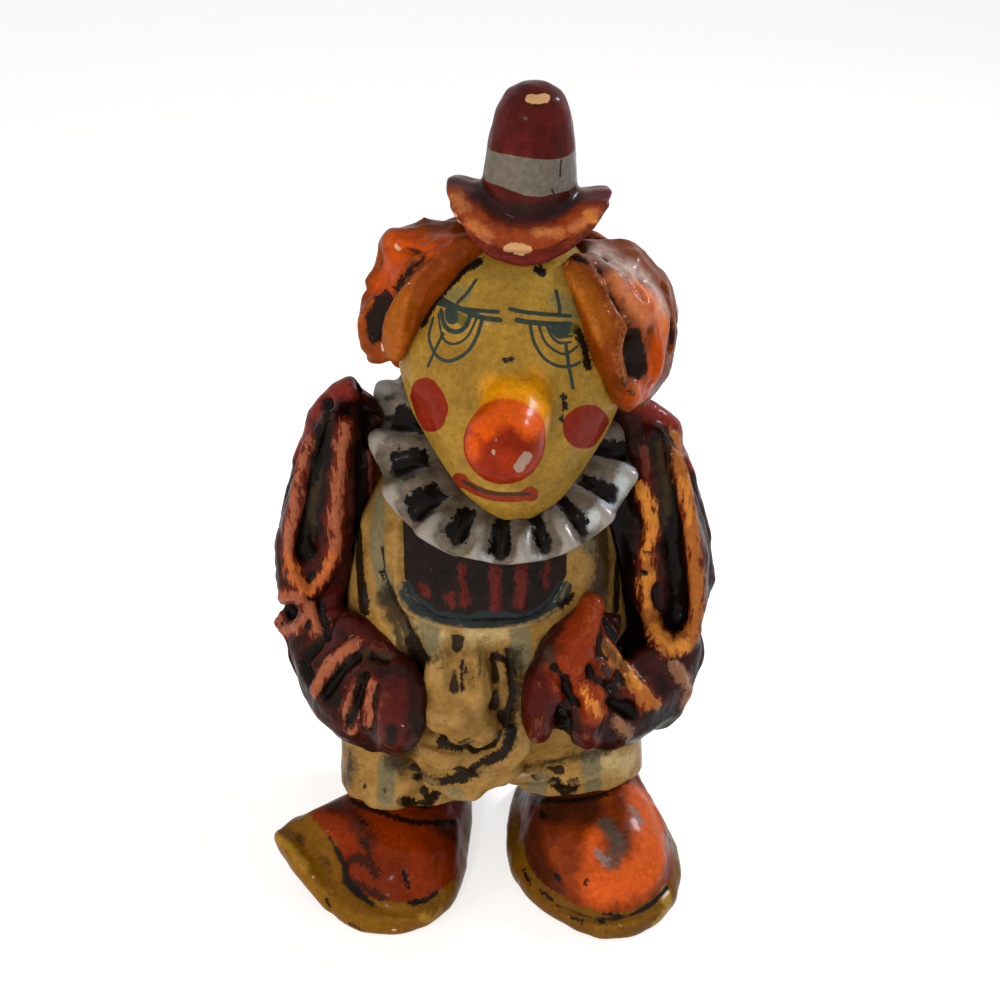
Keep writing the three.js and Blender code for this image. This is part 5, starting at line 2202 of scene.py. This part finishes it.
RIGHT_SHOE_CARVING = (
    *marks(2.6, -1.2, ((556, 906), (590, 918), (622, 918), (650, 906), (668, 888))),
    *marks(8.0, 1.4, ((600, 880), (640, 888), (660, 866))),
    *marks(4.0, 0.8, ((636, 776), (656, 810), (668, 840))),
    *marks(3.0, -0.6, ((600, 836), (612, 850))),
)
RIGHT_SHOE_PAINT: Paint = {
    # A painted highlight on the toe
    "bright": (
        *strokes(9.0, ((644, 800), (654, 840), (640, 876), (600, 886))),
        *strokes(4.0, ((594, 838), (592, 866))),
    ),
    "pale": strokes(2.8, ((664, 892), (668, 908), (656, 924))),
    # Painted shade under the hem and down the side towards the other shoe
    "shade_towards_leg": strokes(8.0, ((528, 812), (532, 850), (548, 886)), ((534, 806), (584, 808))),
    "smoke": strokes(3.4, ((606, 824), (618, 844), (612, 862))),
    "worn": strokes(1.6, ((598, 852), (606, 862)), ((632, 808), (640, 822))),
    "spots": (
        *strokes(1.2, ((556, 876), (559, 879)), ((600, 921), (604, 922))),
        *strokes(0.8, ((540, 890), (552, 900))),
        *strokes(0.8, ((585, 884), (588, 880)), ((604, 914), (622, 916))),
        *strokes(0.8, ((656, 900), (666, 888)), ((572, 918), (582, 922)), ((524, 870), (530, 884))),
        *strokes(1.4, ((504, 792), (540, 800), (576, 800), (606, 794))),
    ),
}


def shoes() -> list[Shoe]:
    """Gives both shoes.

    Returns:
        The left and the right one.
    """
    left = Shoe(
        name="left_shoe",
        nodes=("shoe_left", "sole_left"),
        slot="left_shoe_paint",
        zones={"sole": ("sole_left",)},
        regions={"sole": LEFT_SOLE_EDGE},
        coat=shoe_coat("orange_shoe_enamel_left", "#742402", "#642002", "#822a01", "#24120a", "#754d08"),
        carving=LEFT_SHOE_CARVING,
        paint=LEFT_SHOE_PAINT,
    )
    right = Shoe(
        name="right_shoe",
        nodes=("shoe_right", "sole_right"),
        slot="right_shoe_paint",
        zones={"sole": ("sole_right",)},
        regions={"sole": RIGHT_SOLE_EDGE},
        coat=shoe_coat("orange_shoe_enamel_right", "#82330a", "#4e1b06", "#c9541a", "#7c6e68", "#664208"),
        carving=RIGHT_SHOE_CARVING,
        paint=RIGHT_SHOE_PAINT,
    )
    return [left, right]


# The underside: two CAD pieces whose shape is right


@dataclass(frozen=True)
class Underside:
    """A plain finish: a clouded colour, pits or grains of one size, and a matt skin.

    Cloud, pit size and pit depth are in millimetres.
    """

    node: str
    name: str
    base: str
    second: str
    pit: str
    cloud: float
    pit_size: float
    pit_from: float
    roughness: tuple[float, float]
    specular: float
    bump: float
    ior: float = 1.5
    cloud_low: float = 0.35
    cloud_high: float = 0.65
    pit_edge: float = 0.05
    pit_depth: float = 0.5

    def dress(self, frame: Frame) -> None:
        """Gives the CAD node its material.

        Args:
            frame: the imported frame.
        """
        made = bpy.data.materials.new(self.name)
        made.use_nodes = True
        tree = made.node_tree
        tree.nodes.clear()
        place = add(tree, "ShaderNodeTexCoord").outputs["Object"]
        large = {"Scale": 1 / (self.cloud * MM), "Detail": 5.0, "Roughness": 0.6}
        cloud = add(tree, "ShaderNodeTexNoise", large, {"Vector": place}).outputs[0]
        small = {"Scale": 1 / (self.pit_size * MM), "Detail": 2.0, "Roughness": 0.5}
        grain = add(tree, "ShaderNodeTexNoise", small, {"Vector": place}).outputs[0]
        span = {"From Min": self.cloud_low, "From Max": self.cloud_high}
        share = add(tree, "ShaderNodeMapRange", span, {"Value": cloud})
        ends = {"data_type": "RGBA", 6: linear(self.base), 7: linear(self.second)}
        colour = add(tree, "ShaderNodeMix", ends, {0: share.outputs[0]}).outputs[2]
        rare = {"From Min": self.pit_from, "From Max": self.pit_from + self.pit_edge}
        pits = add(tree, "ShaderNodeMapRange", rare, {"Value": grain}).outputs[0]
        dark = {"data_type": "RGBA", 7: linear(self.pit)}
        colour = add(tree, "ShaderNodeMix", dark, {0: pits, 6: colour}).outputs[2]
        low, high = self.roughness
        matt = add(tree, "ShaderNodeMapRange", {"To Min": low, "To Max": high}, {"Value": cloud}).outputs[0]
        height = add(tree, "ShaderNodeMath", {"operation": "SUBTRACT"}, {0: cloud, 1: pits}).outputs[0]
        relief = {"Strength": self.bump, "Distance": self.pit_depth * MM}
        uneven = add(tree, "ShaderNodeBump", relief, {"Height": height}).outputs[0]
        skin = {"IOR": self.ior, "Specular IOR Level": self.specular}
        links = {"Base Color": colour, "Roughness": matt, "Normal": uneven}
        shader = add(tree, "ShaderNodeBsdfPrincipled", skin, links)
        add(tree, "ShaderNodeOutputMaterial", None, {0: shader.outputs[0]})
        for slot in frame["nodes"][self.node].material_slots:
            slot.material = made
        log.info("%s: %s", self.node, self.name)


# Cast plaster left bare: chalky and clouded, with pinholes of about a millimetre where air bubbles burst
BARE_PLASTER = Underside(
    node="base_plate",
    name="bare_cast_plaster",
    base="#c4b69c",
    second="#a3937a",
    pit="#5d5140",
    cloud=14.0,
    pit_size=1.3,
    pit_from=0.66,
    roughness=(0.78, 0.95),
    specular=0.25,
    bump=0.4,
)
# Moulded natural rubber gone dull: dark brown with a grey bloom, specks under a millimetre and a satin skin
OLD_RUBBER = Underside(
    node="stopper",
    name="moulded_brown_rubber",
    base="#2b211b",
    second="#4a3d33",
    pit="#15100c",
    cloud=5.0,
    pit_size=0.8,
    pit_from=0.68,
    roughness=(0.45, 0.7),
    specular=0.35,
    bump=0.2,
)


def castings() -> list[Casting]:
    """Gives every piece that is remade, in order."""
    return [Head(), *hair(), Hat(), Ruff(), Trousers(), ShirtFront(), *arms(), *shoes()]


@dataclass(frozen=True)
class Lamp:
    """A soft round lamp that looks at the figure, and shows in its varnish or not.

    Its place and size are in metres, and its power is in watts.
    """

    name: str
    place: tuple[float, float, float]
    size: float
    power: float
    colour: str
    mirrored: bool = False

    def hang(self, aim: Vector) -> None:
        """Puts the lamp in.

        Args:
            aim: where it looks.
        """
        data = bpy.data.lights.new(self.name, "AREA")
        data.shape = "DISK"
        data.size = self.size
        data.energy = self.power
        data.color = linear(self.colour)[:3]
        lamp = bpy.data.objects.new(self.name, data)
        lamp.location = self.place
        lamp.visible_glossy = self.mirrored
        lamp.rotation_euler = (aim - Vector(self.place)).to_track_quat("-Z", "Y").to_euler()
        bpy.context.collection.objects.link(lamp)


@dataclass(frozen=True)
class Room:
    """A white studio: a floor that keeps the figure's shadow, soft light from all round, and lamps.

    Half is half of the floor's side, in metres.
    """

    half: float = 2.6
    floor: str = "#dad8d5"
    floor_glow: float = 0.66
    world_light: float = 0.42
    world_colour: str = "#f2f1ef"
    backdrop: str = "#ffffff"
    aim: tuple[float, float, float] = (0, 0, 0.17)
    lamps: tuple[Lamp, ...] = (
        Lamp("front", (-0.2, -1.3, 0.16), 0.8, 11.5, "#fff6ea"),
        Lamp("left", (-0.9, -0.6, 0.3), 0.5, 3.4, "#fff0dc"),
        Lamp("window", (0.72, 0.36, 0.72), 0.2, 7.5, "#eef3ff", True),
        Lamp("glint", (-0.5, -1.0, 1.0), 0.1, 2.0, "#ffffff", True),
    )

    def build(self) -> None:
        """Puts in the world, the floor and the lamps."""
        self.sky()
        self.ground()
        for lamp in self.lamps:
            lamp.hang(Vector(self.aim))

    def sky(self) -> None:
        """Makes the world: white where it is seen or mirrored, dimmer as light."""
        world = bpy.data.worlds.new("studio")
        bpy.context.scene.world = world
        world.use_nodes = True
        tree = world.node_tree
        tree.nodes.clear()
        soft = {"Color": linear(self.world_colour), "Strength": self.world_light}
        dim = add(tree, "ShaderNodeBackground", soft)
        white = add(tree, "ShaderNodeBackground", {"Color": linear(self.backdrop), "Strength": 1.0})
        links = {0: self.shown(tree), 1: dim.outputs[0], 2: white.outputs[0]}
        both = add(tree, "ShaderNodeMixShader", None, links)
        add(tree, "ShaderNodeOutputWorld", None, {0: both.outputs[0]})

    def shown(self, tree: Tree) -> Socket:
        """Gives 1 to the rays that show the background: from the camera, or mirrored, or through glass.

        Args:
            tree: takes the nodes.

        Returns:
            The value.
        """
        path = add(tree, "ShaderNodeLightPath").outputs
        either = {"operation": "MAXIMUM"}
        links = {0: path["Is Camera Ray"], 1: path["Is Glossy Ray"]}
        first = add(tree, "ShaderNodeMath", either, links).outputs[0]
        return add(tree, "ShaderNodeMath", either, {0: first, 1: path["Is Transmission Ray"]}).outputs[0]

    def ground(self) -> None:
        """Makes the floor: paper that takes the shadow, and a glow that only the camera and mirrors see."""
        half = self.half
        mesh = bpy.data.meshes.new("floor")
        corners = [(-half, -half, 0), (half, -half, 0), (half, half, 0), (-half, half, 0)]
        mesh.from_pydata(corners, [], [(0, 1, 2, 3)])
        floor = bpy.data.objects.new("floor", mesh)
        bpy.context.collection.objects.link(floor)
        paper = bpy.data.materials.new("pale_backdrop_paper")
        paper.use_nodes = True
        tree = paper.node_tree
        tree.nodes.clear()
        plain = add(tree, "ShaderNodeBsdfDiffuse", {"Color": linear(self.floor)})
        dimmed = {"operation": "MULTIPLY", 1: self.floor_glow}
        power = add(tree, "ShaderNodeMath", dimmed, {0: self.shown(tree)}).outputs[0]
        glow = add(tree, "ShaderNodeEmission", {"Color": linear(self.backdrop)}, {"Strength": power})
        both = add(tree, "ShaderNodeAddShader", None, {0: plain.outputs[0], 1: glow.outputs[0]})
        add(tree, "ShaderNodeOutputMaterial", None, {0: both.outputs[0]})
        mesh.materials.append(paper)


def main() -> None:
    """Builds the money box, the floor, the light and the camera."""
    logging.basicConfig(level=logging.INFO, format="%(name)s %(message)s")
    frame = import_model()
    LENS.put()
    around = Neighbours(frame)
    for casting in castings():
        casting.build(frame, around)
    for finish in (BARE_PLASTER, OLD_RUBBER):
        finish.dress(frame)
    Room().build()
    scene = bpy.context.scene
    scene.view_settings.view_transform = "Standard"


if __name__ == "__main__":
    main()
